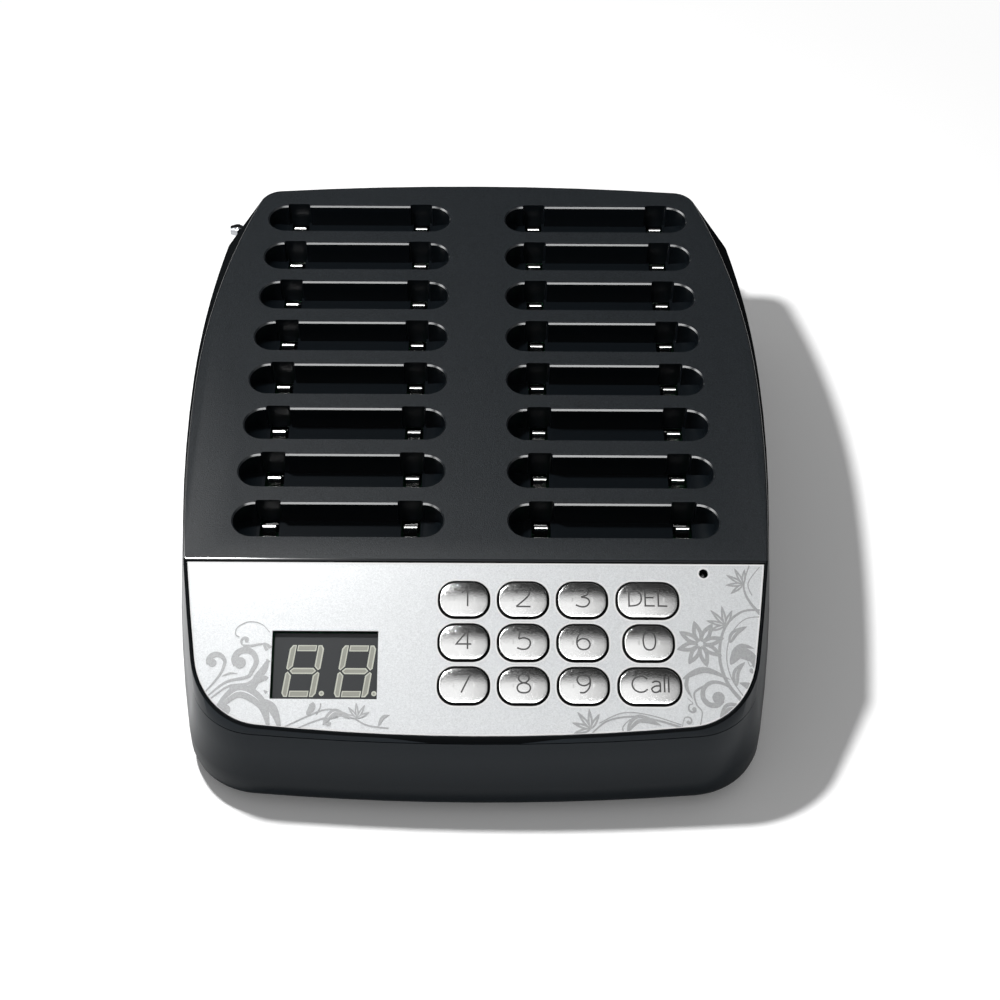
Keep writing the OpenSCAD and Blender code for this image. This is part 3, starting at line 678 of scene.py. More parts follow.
@dataclass
class Case:
    """The two mouldings of the case and what is screwed to them.

    Past the flank sizes, a face of the cover belongs to its flank and not to a slot. The
    depths are under the plane of the deck. A lift is the cosine of a face's tilt from it.
    """

    body: str = "case"
    fold: float = 32.0
    flank_x: float = 103.5
    flank_rear: float = 133.5
    flank_front: float = -100.0
    flank_front_z: float = 60.0
    skin_depth: float = 0.1
    mouth_depth: float = 1.2
    edge_depth: float = 1.6
    level_lift: float = 0.97
    round_lift: float = 0.4
    mouth_lift: float = 0.2
    cover_paints: tuple[Paint, ...] = (Paint.DECK, Paint.FLANK, Paint.SLOT, Paint.LIP,
                                       Paint.BASE)

    @staticmethod
    def flats() -> list[Vector]:
        """Normals of the large flat faces of the mouldings."""
        turned = [plane.normal() for plane in Tilt]
        return turned + [-v for v in turned] + [UP, -UP]

    def paint_of(self, face: bpy.types.MeshPolygon, depth: float, lift: float) -> Paint:
        """The finish of a face of the cover.

        Args:
            face: the face.
            depth: how far it lies under the plane of the deck.
            lift: how nearly it looks along the deck's normal.

        Returns:
            The finish.
        """
        x, y, z = face.center / MM
        if (abs(x) > self.flank_x or y > self.flank_rear
                or (y < self.flank_front and z < self.flank_front_z)):
            outer = face.normal.x * x + face.normal.y * y > 0.0
            front, rounded = y < RIDGE.back, face.normal.z > self.round_lift
            if lift > self.level_lift or not outer:
                return Paint.DECK
            # Painted shade: the outer flank, and the rounded faces under the panel, are painted
            # darker than the base plastic.
            if front:
                return Paint.FLANK if rounded else Paint.BASE
            return Paint.LIP if rounded and depth < self.edge_depth else Paint.FLANK
        if depth <= self.skin_depth:
            return Paint.DECK
        # Faces deeper in the slots get painted shade.
        mouth = depth < self.mouth_depth and self.mouth_lift < lift < self.level_lift
        return Paint.LIP if mouth else Paint.SLOT

    def cover(self) -> None:
        """Dresses the top cover, face by face."""
        made = Shop.dressed("top_cover", Paint.DECK, self.body, self.fold, self.flats())
        for paint in self.cover_paints[1:]:
            made.data.materials.append(paint.value.material())
        flat, up = RIDGE.matrix(Tilt.DECK).inverted(), Tilt.DECK.normal()
        for face in made.data.polygons:
            paint = self.paint_of(face, -(flat @ face.center).z, face.normal.dot(up))
            face.material_index = self.cover_paints.index(paint)

    def build(self) -> None:
        """Dresses the mouldings, boards, feet and screws."""
        self.cover()
        Shop.dressed("base_housing", Paint.BASE, self.body, self.fold, self.flats())
        for node, paint in (("rubber_feet", Paint.RUBBER), ("case_screws", Paint.STEEL),
                            ("board_screws", Paint.STEEL), ("buzzer", Paint.BLACK),
                            ("dc_jack", Paint.BLACK)):
            Shop.dressed(node, paint, self.body)
        for node, paint in (("keypad_mat", Paint.SILICONE), ("main_board", Paint.CIRCUIT),
                            # The contact holders get the painted shade of the slot insides.
                            ("charging_board", Paint.CIRCUIT), ("contact_holders", Paint.SLOT),
                            ("power_switch_frame", Paint.BLACK)):
            Shop.painted(node, paint)
        Shop.dressed("power_rocker", Paint.BLACK, "power_rocker")


@dataclass
class SlotContacts:
    """The sprung leaves in the slots."""

    rows: int = 8
    fold: float = 40.0

    def build(self) -> None:
        """Dresses each pair of leaves."""
        for side in "lr":
            for row in range(1, self.rows + 1):
                node = f"contacts_{side}{row}"
                Shop.dressed(node, Paint.NICKEL, node, self.fold)


@dataclass
class Antenna:
    """The folded telescopic antenna behind the case."""

    tubes: int = 4

    def build(self) -> None:
        """Dresses the bush, the swivel, the tubes and the tip."""
        for node in ("antenna_bush", "antenna_nut"):
            Shop.dressed(node, Paint.CHROME, "case")
        Shop.dressed("antenna_swivel", Paint.CHROME, "antenna_swivel")
        Shop.dressed("antenna_pin", Paint.STEEL, "antenna_swivel")
        for number in range(1, self.tubes + 1):
            Shop.dressed(f"antenna_tube_{number}", Paint.CHROME, f"antenna_tube_{number}")
        Shop.dressed("antenna_tip", Paint.CHROME, "antenna_tip")


# ---- keys --------------------------------------------------------------------------------


class Label(Enum):
    """What is marked on each key, by the key's node."""

    key_1 = "1"
    key_2 = "2"
    key_3 = "3"
    key_delete = "DEL"
    key_4 = "4"
    key_5 = "5"
    key_6 = "6"
    key_0 = "0"
    key_7 = "7"
    key_8 = "8"
    key_9 = "9"
    key_call = "Call"


def straight(*points: Point2) -> list[Point2]:
    """A stroke of straight lines, from hundredths to heights of a capital letter."""
    return [(x / 100, y / 100) for x, y in points]


def curved(*points: Point2) -> list[Point2]:
    """A smooth stroke, from hundredths to heights of a capital letter."""
    return smooth_path(straight(*points), 6)


# Strokes of the letters and digits.
LETTERS: dict[str, list[list[Point2]]] = {
    "1": [straight((6, 74), (36, 100), (36, 0))],
    "2": [curved((4, 76), (14, 95), (38, 100), (63, 91), (68, 70), (48, 42), (2, 0)),
          straight((2, 0), (74, 0))],
    "3": [curved((6, 88), (34, 100), (60, 92), (62, 68), (30, 54)), curved((30, 54), (62, 46),
          (72, 26), (58, 5), (32, 0), (3, 10))],
    "4": [straight((76, 27), (0, 27), (57, 100), (57, 0))],
    "5": [straight((66, 100), (18, 100), (12, 56)), curved((12, 56), (38, 62), (64, 52),
          (70, 28), (56, 5), (30, 0), (4, 8))],
    "6": [curved((58, 97), (34, 96), (13, 74), (5, 40), (14, 10), (38, 0), (62, 8), (71, 30),
          (60, 52), (36, 60), (14, 50), (5, 34))],
    "7": [straight((2, 100), (70, 100), (24, 0))],
    "8": [curved((36, 100), (58, 93), (62, 76), (52, 60), (36, 54), (20, 60), (10, 76),
          (14, 93), (36, 100)), curved((36, 54), (60, 45), (69, 26), (60, 7), (36, 0), (12, 7),
          (3, 26), (12, 45), (36, 54))],
    "9": [curved((16, 3), (40, 4), (61, 26), (69, 60), (60, 90), (36, 100), (12, 92), (3, 70),
          (14, 48), (38, 40), (60, 50), (69, 66))],
    "0": [curved((35, 100), (58, 88), (66, 50), (58, 12), (35, 0), (12, 12), (4, 50), (12, 88),
          (35, 100))],
    "D": [straight((20, 100), (4, 100), (4, 0), (20, 0)), curved((20, 100), (54, 93), (74, 70),
          (74, 30), (54, 7), (20, 0))],
    "E": [straight((62, 100), (6, 100), (6, 0), (62, 0)), straight((6, 53), (56, 53))],
    "L": [straight((5, 100), (5, 0), (58, 0))],
    "C": [curved((86, 82), (66, 97), (40, 99), (14, 82), (3, 50), (14, 18), (40, 1), (66, 3),
          (86, 18))],
    "a": [curved((8, 60), (28, 68), (48, 62), (52, 42)), straight((52, 46), (52, 0)),
          curved((52, 40), (24, 37), (5, 20), (18, 0), (40, 3), (52, 18))],
    "l": [straight((6, 105), (6, 0))],
}


@dataclass
class Keypad:
    """Twelve domed keys on the panel, with marked labels.

    Places are x and s, the distance down the slope. Heights are over the panel's plane.
    """

    first_x: float = -4.4
    first_s: float = 16.4
    pitch_x: float = 22.8
    wide_pitch_x: float = 25.3
    pitch_s: float = 16.95
    width: float = 19.8
    wide_width: float = 24.3
    height: float = 14.8
    corner: float = 6.6
    top: float = 1.1
    dome: float = 34.0
    edge: float = 0.2
    draft: float = 0.7
    level: float = -0.5
    foot: float = -4.9
    lip: float = 0.9
    lip_height: float = 1.0
    rings: int = 6
    digit_height: float = 7.2
    digit_stretch: float = 1.06
    word_height: float = 6.2
    word_width: float = 15.0
    word_stretch: float = 1.13
    stroke: float = 0.62
    letter_gap: float = 0.17
    raise_by: float = 0.7
    label_lift: float = 0.02
    label_step: float = 1.2
    long_side: float = 3.0
    side_parts: int = 6
    root_rise: float = 0.1
    middle: float = 0.3
    turns: tuple[float, ...] = (0.0, 22.5, 45.0, 67.5, 90.0)
    side_depth: float = 0.08
    fold: float = 40.0
    wide_keys: tuple[Label, ...] = (Label.key_delete, Label.key_call)

    def centre(self, number: int) -> Point2:
        """Middle of a key on the panel, y up the slope.

        Args:
            number: the key's number, counted along the rows.

        Returns:
            Its x and y.
        """
        column, row = number % 4, number // 4
        x = self.first_x + min(column, 2) * self.pitch_x
        x += self.wide_pitch_x if column == 3 else 0.0
        return x, -(self.first_s + row * self.pitch_s)

    def width_of(self, label: Label) -> float:
        """Width of a key."""
        return self.wide_width if label in self.wide_keys else self.width

    def crown(self, x: float, y: float) -> float:
        """Height of the domed top at a place on the key.

        Args:
            x: the place, across the panel.
            y: the place, up the slope.

        Returns:
            The height over the panel's plane.
        """
        across = 2 * self.dome - math.sqrt((2 * self.dome) ** 2 - x * x)
        along = self.dome - math.sqrt(self.dome**2 - y * y)
        return self.top - across - along

    def outline(self, width: float, inset: float) -> list[Point2]:
        """Outline of a key moved in, with its long straight sides cut in parts.

        Args:
            width: the key's width.
            inset: how far the outline is moved in, or out where it is negative.

        Returns:
            Points about the key's middle.
        """
        rim = rounded_box(width - 2 * inset, self.height - 2 * inset, self.corner - inset)
        points: list[Point2] = []
        for (ax, ay), (bx, by) in zip(rim, [*rim[1:], rim[0]]):
            parts = self.side_parts if math.hypot(bx - ax, by - ay) > self.long_side else 1
            points += [(ax + (bx - ax) * i / parts, ay + (by - ay) * i / parts)
                       for i in range(parts)]
        return points

    def cap(self, width: float) -> bmesh.types.BMesh:
        """One keycap round the origin, closed, with a rounded upper edge.

        Args:
            width: the key's width.

        Returns:
            The mesh in millimetres on the panel plane.
        """
        shoulder = self.foot + self.lip_height
        rings = [[(x, y, level) for x, y in self.outline(width, -out)]
                 for out, level in ((self.lip, self.foot), (self.lip, shoulder),
                                    (0.0, shoulder + self.root_rise), (0.0, self.level))]
        insets = []
        for turn in map(math.radians, self.turns):
            insets.append((self.draft + self.edge * (1 - math.cos(turn)),
                           self.edge * (1 - math.sin(turn))))
        first, deepest = self.draft + self.edge, self.corner - self.middle
        insets += [(first + (deepest - first) * step / self.rings, 0.0)
                   for step in range(1, self.rings + 1)]
        rings += [[(x, y, self.crown(x, y) - drop) for x, y in self.outline(width, inset)]
                  for inset, drop in insets]
        mesh = Shop.loft(rings)
        self.cut_middle(mesh, {round(x, 5) for x, y, z in rings[-1]},
                        self.height / 2 - deepest + 0.01)
        Shop.smooth(mesh, self.fold)
        for face in mesh.faces:
            x, y, z = face.calc_center_median()
            face.material_index = 1 if z < self.crown(x, y) - self.side_depth else 0
        return mesh

    @staticmethod
    def cut_middle(mesh: bmesh.types.BMesh, places: set[float], reach: float) -> None:
        """Cuts the middle face of a keycap across, so that it follows the dome.

        Args:
            mesh: the keycap.
            places: x of the cuts.
            reach: greatest distance of the face's corners from the middle line.
        """
        for x in sorted(places):
            inner = [f for f in mesh.faces if abs(f.normal.z) > 0.9
                     and all(abs(v.co.y) < reach for v in f.verts)]
            bmesh.ops.bisect_plane(
                mesh, geom=[*inner, *{e for f in inner for e in f.edges},
                            *{v for f in inner for v in f.verts}],
                dist=1e-3, plane_co=(x, 0.0, 0.0), plane_no=(1.0, 0.0, 0.0))

    def marking(self, label: Label, place: Matrix) -> bpy.types.Object:
        """The label of a key, laid on its domed top.

        Args:
            label: the key's label.
            place: from the key's own millimetres to the frame of the part.

        Returns:
            The label's piece.
        """
        words = label in self.wide_keys
        strokes: list[list[Point2]] = []
        start = 0.0
        for letter in label.value:
            paths = LETTERS[letter]
            strokes += [[(x + start, y) for x, y in path] for path in paths]
            start += max(x for path in paths for x, _ in path) + self.letter_gap
        span = start - self.letter_gap
        tall = self.word_height if words else self.digit_height
        wide = (min(self.word_width / span, self.word_stretch * tall) if words
                else self.digit_stretch * tall)
        mesh = bmesh.new()
        for path in strokes:
            places = [((x - span / 2) * wide, (y - 0.5) * tall + self.raise_by)
                      for x, y in path]
            lay_ribbon(mesh, divided(places, self.label_step), lambda t: self.stroke,
                       lambda x, y: self.crown(x, y) + self.label_lift)
        made = Shop.piece(mesh, "label_" + label.name, [Paint.LABEL], label.name, place)
        return made

    def build(self) -> None:
        """Makes the keys and their labels."""
        for number, label in enumerate(Label):
            place = RIDGE.matrix(Tilt.PANEL) @ Matrix.Translation((*self.centre(number), 0.0))
            made = Shop.piece(self.cap(self.width_of(label)), "cap_" + label.name,
                              [Paint.KEY, Paint.KEY_SIDE], label.name, place)
            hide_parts(label.name)
            self.marking(label, place)


# ---- display -----------------------------------------------------------------------------


@dataclass
class Display:
    """The two-digit display in its window. The points stand off the digits' lower corner."""

    middle_x: float = -55.95
    middle_s: float = 44.2
    pitch: float = 20.0
    height: float = 20.3
    width: float = 13.09
    stroke: float = 2.4
    gap: float = 0.5
    face: float = -3.0
    lift: float = 0.02
    slant: float = 8.5
    rim: float = 0.55
    point_x: float = 0.85
    point_y: float = 1.4
    point_radius: float = 1.0

    def middle_bar(self) -> list[Point2]:
        """Outline of the middle segment, pointed at both ends.

        Returns:
            Its corners.
        """
        half, tip = (self.width - self.stroke - self.gap) / 2, self.stroke / 2
        return [(-half, 0.0), (-half + tip, -tip), (half - tip, -tip), (half, 0.0),
                (half - tip, tip), (-half + tip, tip)]

    def level_bar(self, side: int) -> list[Point2]:
        """Outline of the top or bottom segment.

        Args:
            side: 1 for the top one, -1 for the bottom one.

        Returns:
            Its corners.
        """
        half = self.width / 2 - self.stroke - self.gap
        y = side * (self.height - self.stroke) / 2
        tip = self.stroke / 2
        return [(-half, y - tip), (half, y - tip), (half, y + tip), (-half, y + tip)]

    def side_bar(self, right: int, upper: int) -> list[Point2]:
        """Outline of an upright segment, with its outer corner cut off.

        Args:
            right: 1 for a right one, -1 for a left one.
            upper: 1 for an upper one, -1 for a lower one.

        Returns:
            Its corners.
        """
        x, y, t, foot = self.width / 2, self.height / 2, self.stroke, self.gap / 2
        points = [(x - t, y), (x - 0.4 * t, y), (x, y - 0.6 * t), (x, foot + 0.3 * t),
                  (x - 0.35 * t, foot), (x - t, foot + 0.65 * t)]
        return [(right * px, upper * py) for px, py in points]

    def shape(self, mesh: bmesh.types.BMesh, outline: Sequence[Point2], x: float,
              slant: float) -> None:
        """Adds a flat shape with a pale rim and a milky middle.

        Args:
            mesh: the mesh that gets the shape.
            outline: its corners about the digit's middle.
            x: the digit's place.
            slant: how far the digit leans, in degrees.
        """
        made = bmesh.ops.create_circle(mesh, cap_ends=True, segments=len(outline),
                                       radius=1.0)["verts"]
        lean = math.tan(math.radians(slant))
        for vert, (px, py) in zip(made, outline):
            vert.co = (x + px + py * lean, py - self.middle_s, self.face + self.lift)
        face = made[0].link_faces[0]
        Shop.face_up(face)
        rim = bmesh.ops.inset_individual(mesh, faces=[face], thickness=self.rim, depth=0.0)
        for edge_face in rim["faces"]:
            edge_face.material_index = 1

    def build(self) -> None:
        """Makes the segments and dresses the module and the indicator."""
        mesh = bmesh.new()
        point = arc((self.width / 2 + self.point_x, self.point_y - self.height / 2),
                    self.point_radius, 0.0, 345.0, 23)
        for side in (-1, 1):
            x = self.middle_x + side * self.pitch / 2
            self.shape(mesh, self.middle_bar(), x, self.slant)
            self.shape(mesh, point, x, 0.0)
            for end in (-1, 1):
                self.shape(mesh, self.level_bar(end), x, self.slant)
                for right in (-1, 1):
                    self.shape(mesh, self.side_bar(right, end), x, self.slant)
        made = Shop.piece(mesh, "display_bars", [Paint.SEGMENT, Paint.SEGMENT_EDGE], "case",
                          RIDGE.matrix(Tilt.PANEL))
        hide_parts("display_segments")
        Shop.painted("display_module", Paint.DISPLAY)
        Shop.dressed("indicator_led", Paint.LENS, "case")


# ---- panel and its ornament --------------------------------------------------------------


def turns_left(a: Point2, b: Point2, c: Point2) -> bool:
    """Whether the way from a over b to c turns left, by more than a trace."""
    return (b[0] - a[0]) * (c[1] - a[1]) - (b[1] - a[1]) * (c[0] - a[0]) > 1e-4


def hull_2d(points: Sequence[Point2]) -> list[Point2]:
    """Convex outline of points, anticlockwise.

    Args:
        points: places in the plane.

    Returns:
        The corners of the outline.
    """
    ordered = sorted({(round(x, 3), round(y, 3)) for x, y in points})
    halves: list[Point2] = []
    for run in (ordered, ordered[::-1]):
        half: list[Point2] = []
        for point in run:
            while len(half) > 1 and not turns_left(half[-2], half[-1], point):
                half.pop()
            half.append(point)
        halves += half[:-1]
    return halves


def inner_rim(top: float, inset: float) -> list[Point2]:
    """Outline of the panel's face on its plane, moved inwards and closed.

    Args:
        top: height of the face.
        inset: how far the outline is moved in.

    Returns:
        Its corners anticlockwise, the first one twice.
    """
    flat = RIDGE.matrix(Tilt.PANEL).inverted()
    places = [flat @ v.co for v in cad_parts["silver_panel"].data.vertices]
    rim = hull_2d([(p.x, p.y) for p in places if abs(p.z - top) < 0.02])
    moved = []
    for before, here, after in zip(rim[-1:] + rim[:-1], rim, rim[1:] + rim[:1]):
        first = Vector((here[1] - before[1], before[0] - here[0])).normalized()
        second = Vector((after[1] - here[1], here[0] - after[0])).normalized()
        out = (first + second).normalized()
        step = inset / max(MITRE, out.dot(first))
        moved.append((here[0] - out.x * step, here[1] - out.y * step))
    return [*moved, moved[0]]


@dataclass
class Ornament:
    """Grey floral scrolls printed on the panel.

    Places are x and the distance down the slope. They are drawn as ribbons whose width
    changes along a curve, and discs. Each lies a layer higher than the one before. Nothing
    is drawn over the window, which goes from left to right and from top to bottom.
    """

    lift: float = 0.02
    light_lift: float = 0.03
    layer_lift: float = 0.0015
    layer: int = 0
    window: tuple[float, ...] = (-79.0, -34.6, 27.6, 57.2)
    bud_spread: float = 34.0
    top: float = -0.5
    margin: float = 0.35
    mesh: bmesh.types.BMesh = field(default_factory=bmesh.new)

    def ribbon(self, path: Sequence[Point2], width: Callable[[float], float],
               light: bool = False) -> None:
        """Adds a ribbon along a path.

        Args:
            path: points along its middle.
            width: its width at a share of its length.
            light: whether it is a pale vein over the ink.
        """
        self.layer += 1
        height = self.top + (self.light_lift if light else self.lift)
        height += self.layer * self.layer_lift
        lay_ribbon(self.mesh, [(x, -down) for x, down in path], width,
                   lambda x, y: height, 1 if light else 0)

    def disc(self, centre: Point2, radius: float) -> None:
        """Adds a round blob.

        Args:
            centre: its middle.
            radius: its radius.
        """
        self.layer += 1
        height = self.top + self.lift + self.layer * self.layer_lift
        made = bmesh.ops.create_circle(self.mesh, cap_ends=True, segments=28, radius=radius)
        for vert in made["verts"]:
            vert.co = (vert.co.x + centre[0], vert.co.y - centre[1], height)

    def stem(self, points: Sequence[Point2], start: float, end: float) -> None:
        """Adds a stem whose width goes evenly from start to end."""
        self.ribbon(smooth_path(points), lambda t: start + (end - start) * t)

    def leaf(self, points: Sequence[Point2], width: float, vein: float = 0.0) -> None:
        """Adds a leaf or petal, pointed at both ends, with a pale vein if one is given.

        Args:
            points: places along its middle.
            width: its greatest width.
            vein: greatest width of the vein, or zero for none.
        """
        path = smooth_path(points, 12)
        self.ribbon(path, lambda t: width * max(0.02, math.sin(math.pi * t**0.8)))
        if vein:
            inner = path[len(path) // 6:-len(path) // 3]
            self.ribbon(inner, lambda t: vein * max(0.05, math.sin(math.pi * t)), True)

    def petal(self, base: Point2, turn: float, length: float, width: float,
              vein: float = 0.0) -> None:
        """Adds a straight petal from its base, turned anticlockwise from the right.

        Args:
            base: its root.
            turn: its angle in degrees.
            length: its length.
            width: its greatest width.
            vein: greatest width of its vein.
        """
        way = (math.cos(math.radians(turn)), -math.sin(math.radians(turn)))
        points = [(base[0] + way[0] * length * t, base[1] + way[1] * length * t)
                  for t in (0.0, 0.5, 1.0)]
        self.leaf(points, width, vein)

    def flower(self, centre: Point2, radius: float, petals: int, turn: float) -> None:
        """Adds an open flower with veined petals.

        Args:
            centre: its middle.
            radius: reach of its petals.
            petals: how many petals it has.
            turn: angle of the first one.
        """
        for number in range(petals):
            angle = turn + 360.0 * number / petals
            base = (centre[0] + 0.1 * radius * math.cos(math.radians(angle)),
                    centre[1] - 0.1 * radius * math.sin(math.radians(angle)))
            self.petal(base, angle, radius * 0.92, radius * 0.42, radius * 0.1)

    def bud(self, base: Point2, turn: float, size: float) -> None:
        """Adds a bud of five narrow petals.

        Args:
            base: its root.
            turn: angle of its middle petal.
            size: length of that petal.
        """
        for number, reach in enumerate((0.82, 0.95, 1.0, 0.92, 0.85)):
            self.petal(base, turn + self.bud_spread * (number - 2), size * reach, size * 0.24,
                       size * 0.05)

    def curl(self, centre: Point2, radius: float, turns: tuple[float, float],
             tail: Sequence[Point2], width: float) -> None:
        """Adds a stem that winds into a round blob.

        Args:
            centre: middle of the curl.
            radius: its outer radius.
            turns: start and end angles in degrees, anticlockwise from the right.
            tail: points of the stem before the curl.
            width: widest width of the stem.
        """
        first, last = turns
        spiral = []
        for i in range(7):
            angle = math.radians(first + (last - first) * i / 6)
            reach = radius * (1.0 - 0.42 * i / 6)
            spiral.append((centre[0] + reach * math.cos(angle),
                           centre[1] - reach * math.sin(angle)))
        path = smooth_path([*tail, *spiral])
        self.ribbon(path, lambda t: width * (0.22 + 0.78 * math.sin(0.5 * math.pi * t)))
        self.disc(((spiral[-1][0] + centre[0]) / 2, (spiral[-1][1] + centre[1]) / 2),
                  radius * 0.42)

    def right_end(self) -> None:
        """Draws the flower, buds and scrolls at the right end."""
        self.flower((86.4, 33.4), 9.2, 8, 14)
        self.stem([(102.5, 57), (96, 48.5), (93.5, 38), (96, 27), (103, 20.5), (112, 20)], 1.5,
            0.7)
        self.stem([(104, 56.5), (98, 47.5), (96.2, 38.5), (98.4, 29.5), (104, 23.5),
            (112, 22.5)], 0.5, 0.35)
        self.stem([(112, 24), (106, 16.5), (104, 10), (106.5, 2)], 1.3, 0.4)
        self.stem([(107, 14), (105.8, 9), (110.5, 2.5)], 0.5, 0.35)
        self.bud((103.8, 9.5), 150, 7.5)
        self.bud((96.2, 26), 132, 8.2)
        self.leaf([(97.6, 33), (99.6, 29.2), (104.6, 26.4)], 2.8, 0.3)
        self.leaf([(98, 37.2), (102, 34.2), (107, 35.2)], 2)
        self.leaf([(97.5, 41.5), (101, 37), (106, 39), (107, 44)], 4.6)
        self.leaf([(99.5, 50), (99.6, 44.5), (103.2, 40.4)], 2.8, 0.25)
        self.curl((105.8, 43.4), 1.7, (120, -150), [(104, 39.6)], 0.8)
        self.leaf([(106.5, 57), (105.6, 51), (100.5, 48.5)], 3.6, 0.3)
        self.leaf([(109, 36.5), (108, 41), (108.6, 46)], 2)
        self.leaf([(79, 47.2), (87.5, 43.6), (97.5, 47.5)], 2.4)
        self.curl((91, 53.6), 5.6, (60, 330), [(104, 60.5), (98, 51.5)], 2.2)
        self.leaf([(103, 59), (96, 58), (92.5, 63.5)], 3.2, 0.3)
        self.disc((95, 62.5), 2)
        self.stem([(87, 50), (83.4, 52.5), (84, 57), (86, 60), (85, 65.5)], 0.9, 0.35)
        self.leaf([(81.5, 45), (80.4, 50), (82.6, 55)], 1.5)
        self.curl((82.6, 58.6), 2, (90, 330), [(80.6, 54.6)], 0.9)

    def lower_strip(self) -> None:
        """Draws the stem, leaf and bud under the keys."""
        self.stem([(80, 66.6), (70, 63.5), (60, 61.8), (50, 63.6), (43, 69.5)], 0.9, 0.6)
        self.stem([(78, 64.9), (66, 61.2), (56, 60.4), (47, 64.4)], 0.4, 0.4)
        self.bud((43.8, 66.6), 128, 8.2)
        self.leaf([(57.5, 67.4), (62, 62.6), (70.5, 65.2)], 3.2, 0.3)
        self.stem([(57, 69.5), (55.8, 66), (58.8, 62.8)], 0.5, 0.35)
        self.curl((80.6, 63.4), 1.7, (150, -90), [(78, 66.8)], 0.8)

    def left_end(self) -> None:
        """Draws the scrolls left of the display and under it."""
        self.curl((-88.5, 40.9), 5.3, (-50, 215), [(-101.3, 54.6), (-94.9, 49.4), (-86.9, 47.3)],
            2.7)
        self.stem([(-100.1, 55.6), (-93.9, 51), (-85.9, 49.6), (-80.5, 43.9)], 0.6, 1.4)
        self.curl((-99.3, 41.5), 3.7, (-10, 200), [(-102.5, 53.2), (-97.5, 46.9)], 2.5)
        self.leaf([(-96.5, 47.1), (-93.3, 45.9), (-90.3, 46.1)], 0.8)
        self.leaf([(-93.4, 51.6), (-85.9, 52.2), (-81.5, 46.5)], 3.4)
        self.leaf([(-84.9, 49.2), (-80.7, 44.5), (-79.1, 40.1)], 2.9)
        self.leaf([(-81.3, 33.9), (-78.2, 37.9), (-80.1, 42.9)], 3.1, 0.2)
        self.leaf([(-82.9, 49.6), (-79.9, 47.7), (-76.8, 50.6)], 1.9)
        self.stem([(-77.7, 37.9), (-80.9, 34.5), (-85.9, 35.1), (-88.9, 35.1)], 0.5, 1.2)
        self.curl((-88.1, 33.3), 1.8, (-120, -330), [(-85.9, 35.3)], 1.3)
        self.stem([(-78.4, 30.5), (-81.9, 26.7), (-86.9, 25.5), (-91.3, 27.7), (-92.1, 30.5),
            (-90.5, 31.7)], 0.3, 0.45)
        self.leaf([(-98.5, 60.4), (-89.9, 52.8), (-80.9, 57.6), (-77.5, 68.5)], 5.2, 0.5)
        self.leaf([(-82.9, 56.4), (-76.7, 59.4), (-73.1, 68.5)], 3.6)
        self.disc((-94.5, 60), 2)
        self.leaf([(-80.3, 52.4), (-78.4, 53.8), (-76.7, 53.6)], 1.3)
        self.stem([(-72, 66.5), (-64, 62.6), (-55.7, 59.6), (-48, 61.6), (-41.1, 65.5),
            (-32.5, 66.8)], 0.5, 0.6)
        self.stem([(-68.6, 67.6), (-58.3, 63.4), (-50.6, 61.8)], 0.4, 0.8)
        self.leaf([(-63.7, 61.8), (-61.6, 58.6), (-63.1, 55.8)], 2.6)
        self.stem([(-60, 61.6), (-58.5, 58.6), (-58.8, 55.6)], 0.6, 0.4)
        self.leaf([(-57.4, 65.6), (-53.1, 60.6), (-47.1, 63.4)], 2.6, 0.3)
        self.bud((-44.4, 63), 96, 6.2)
        self.curl((-55.2, 64.6), 1.6, (60, 300), [(-51.4, 62.6)], 0.8)
        self.leaf([(-36.4, 65.8), (-34.7, 62.6), (-32.1, 61.8)], 1.4)

    def trim(self) -> None:
        """Cuts off whatever lies past the panel's own outline."""
        rim = inner_rim(self.top, self.margin)
        for (ax, ay), (bx, by) in zip(rim, rim[1:]):
            out = Vector((by - ay, ax - bx, 0.0)).normalized()
            bmesh.ops.bisect_plane(
                self.mesh, geom=[*self.mesh.verts, *self.mesh.edges, *self.mesh.faces],
                dist=1e-5, plane_co=(ax, ay, 0.0), plane_no=out, clear_outer=True)
        left, right, upper, lower = self.window
        middles = {face: face.calc_center_median() for face in self.mesh.faces}
        bmesh.ops.delete(self.mesh, context="FACES", geom=[
            face for face, at in middles.items()
            if left < at.x < right and upper < -at.y < lower])

    def build(self) -> None:
        """Draws and lays the ornament on the panel."""
        self.right_end()
        self.lower_strip()
        self.left_end()
        self.trim()
        made = Shop.piece(self.mesh, "ornament", [Paint.INK, Paint.SILVER], "case",
                          RIDGE.matrix(Tilt.PANEL))


@dataclass
class Panel:
    """The silver panel with its ornament."""

    body: str = "case"
    fold: float = 32.0
    top: float = -0.5
    # Width of the bands of painted highlight.
    edge: float = 0.66
    lift: float = 0.04
    key_play: float = 0.6
    light_at: Point2 = (88.6, -5.3)
    light_radius: float = 1.85

    def edges(self) -> None:
        """Lays white bands of painted highlight round the panel, the key holes and the light,
        where their edges would catch light.
        """
        mesh = bmesh.new()
        keys = Keypad()
        out = self.key_play + self.edge
        loops = [arc(self.light_at, self.light_radius + self.edge / 2, 0.0, 360.0, 32)]
        for number, label in enumerate(Label):
            x, y = keys.centre(number)
            shape = rounded_box(keys.width_of(label) + out, keys.height + out,
                                keys.corner + out / 2, 8)
            loops.append([(x + px, y + py) for px, py in [*shape, shape[0]]])
        loops.append(inner_rim(self.top, self.edge / 2))
        for loop in loops:
            lay_ribbon(mesh, loop, lambda t: self.edge, lambda x, y: self.top + self.lift)
        made = Shop.piece(mesh, "panel_edges", [Paint.EDGE], self.body,
                          RIDGE.matrix(Tilt.PANEL))

    def build(self) -> None:
        """Dresses the panel and prints the ornament."""
        normal = Tilt.PANEL.normal()
        Shop.dressed("silver_panel", Paint.SILVER, self.body, self.fold, [normal, -normal])
        self.edges()
        Ornament().build()


# ---- studio ------------------------------------------------------------------------------


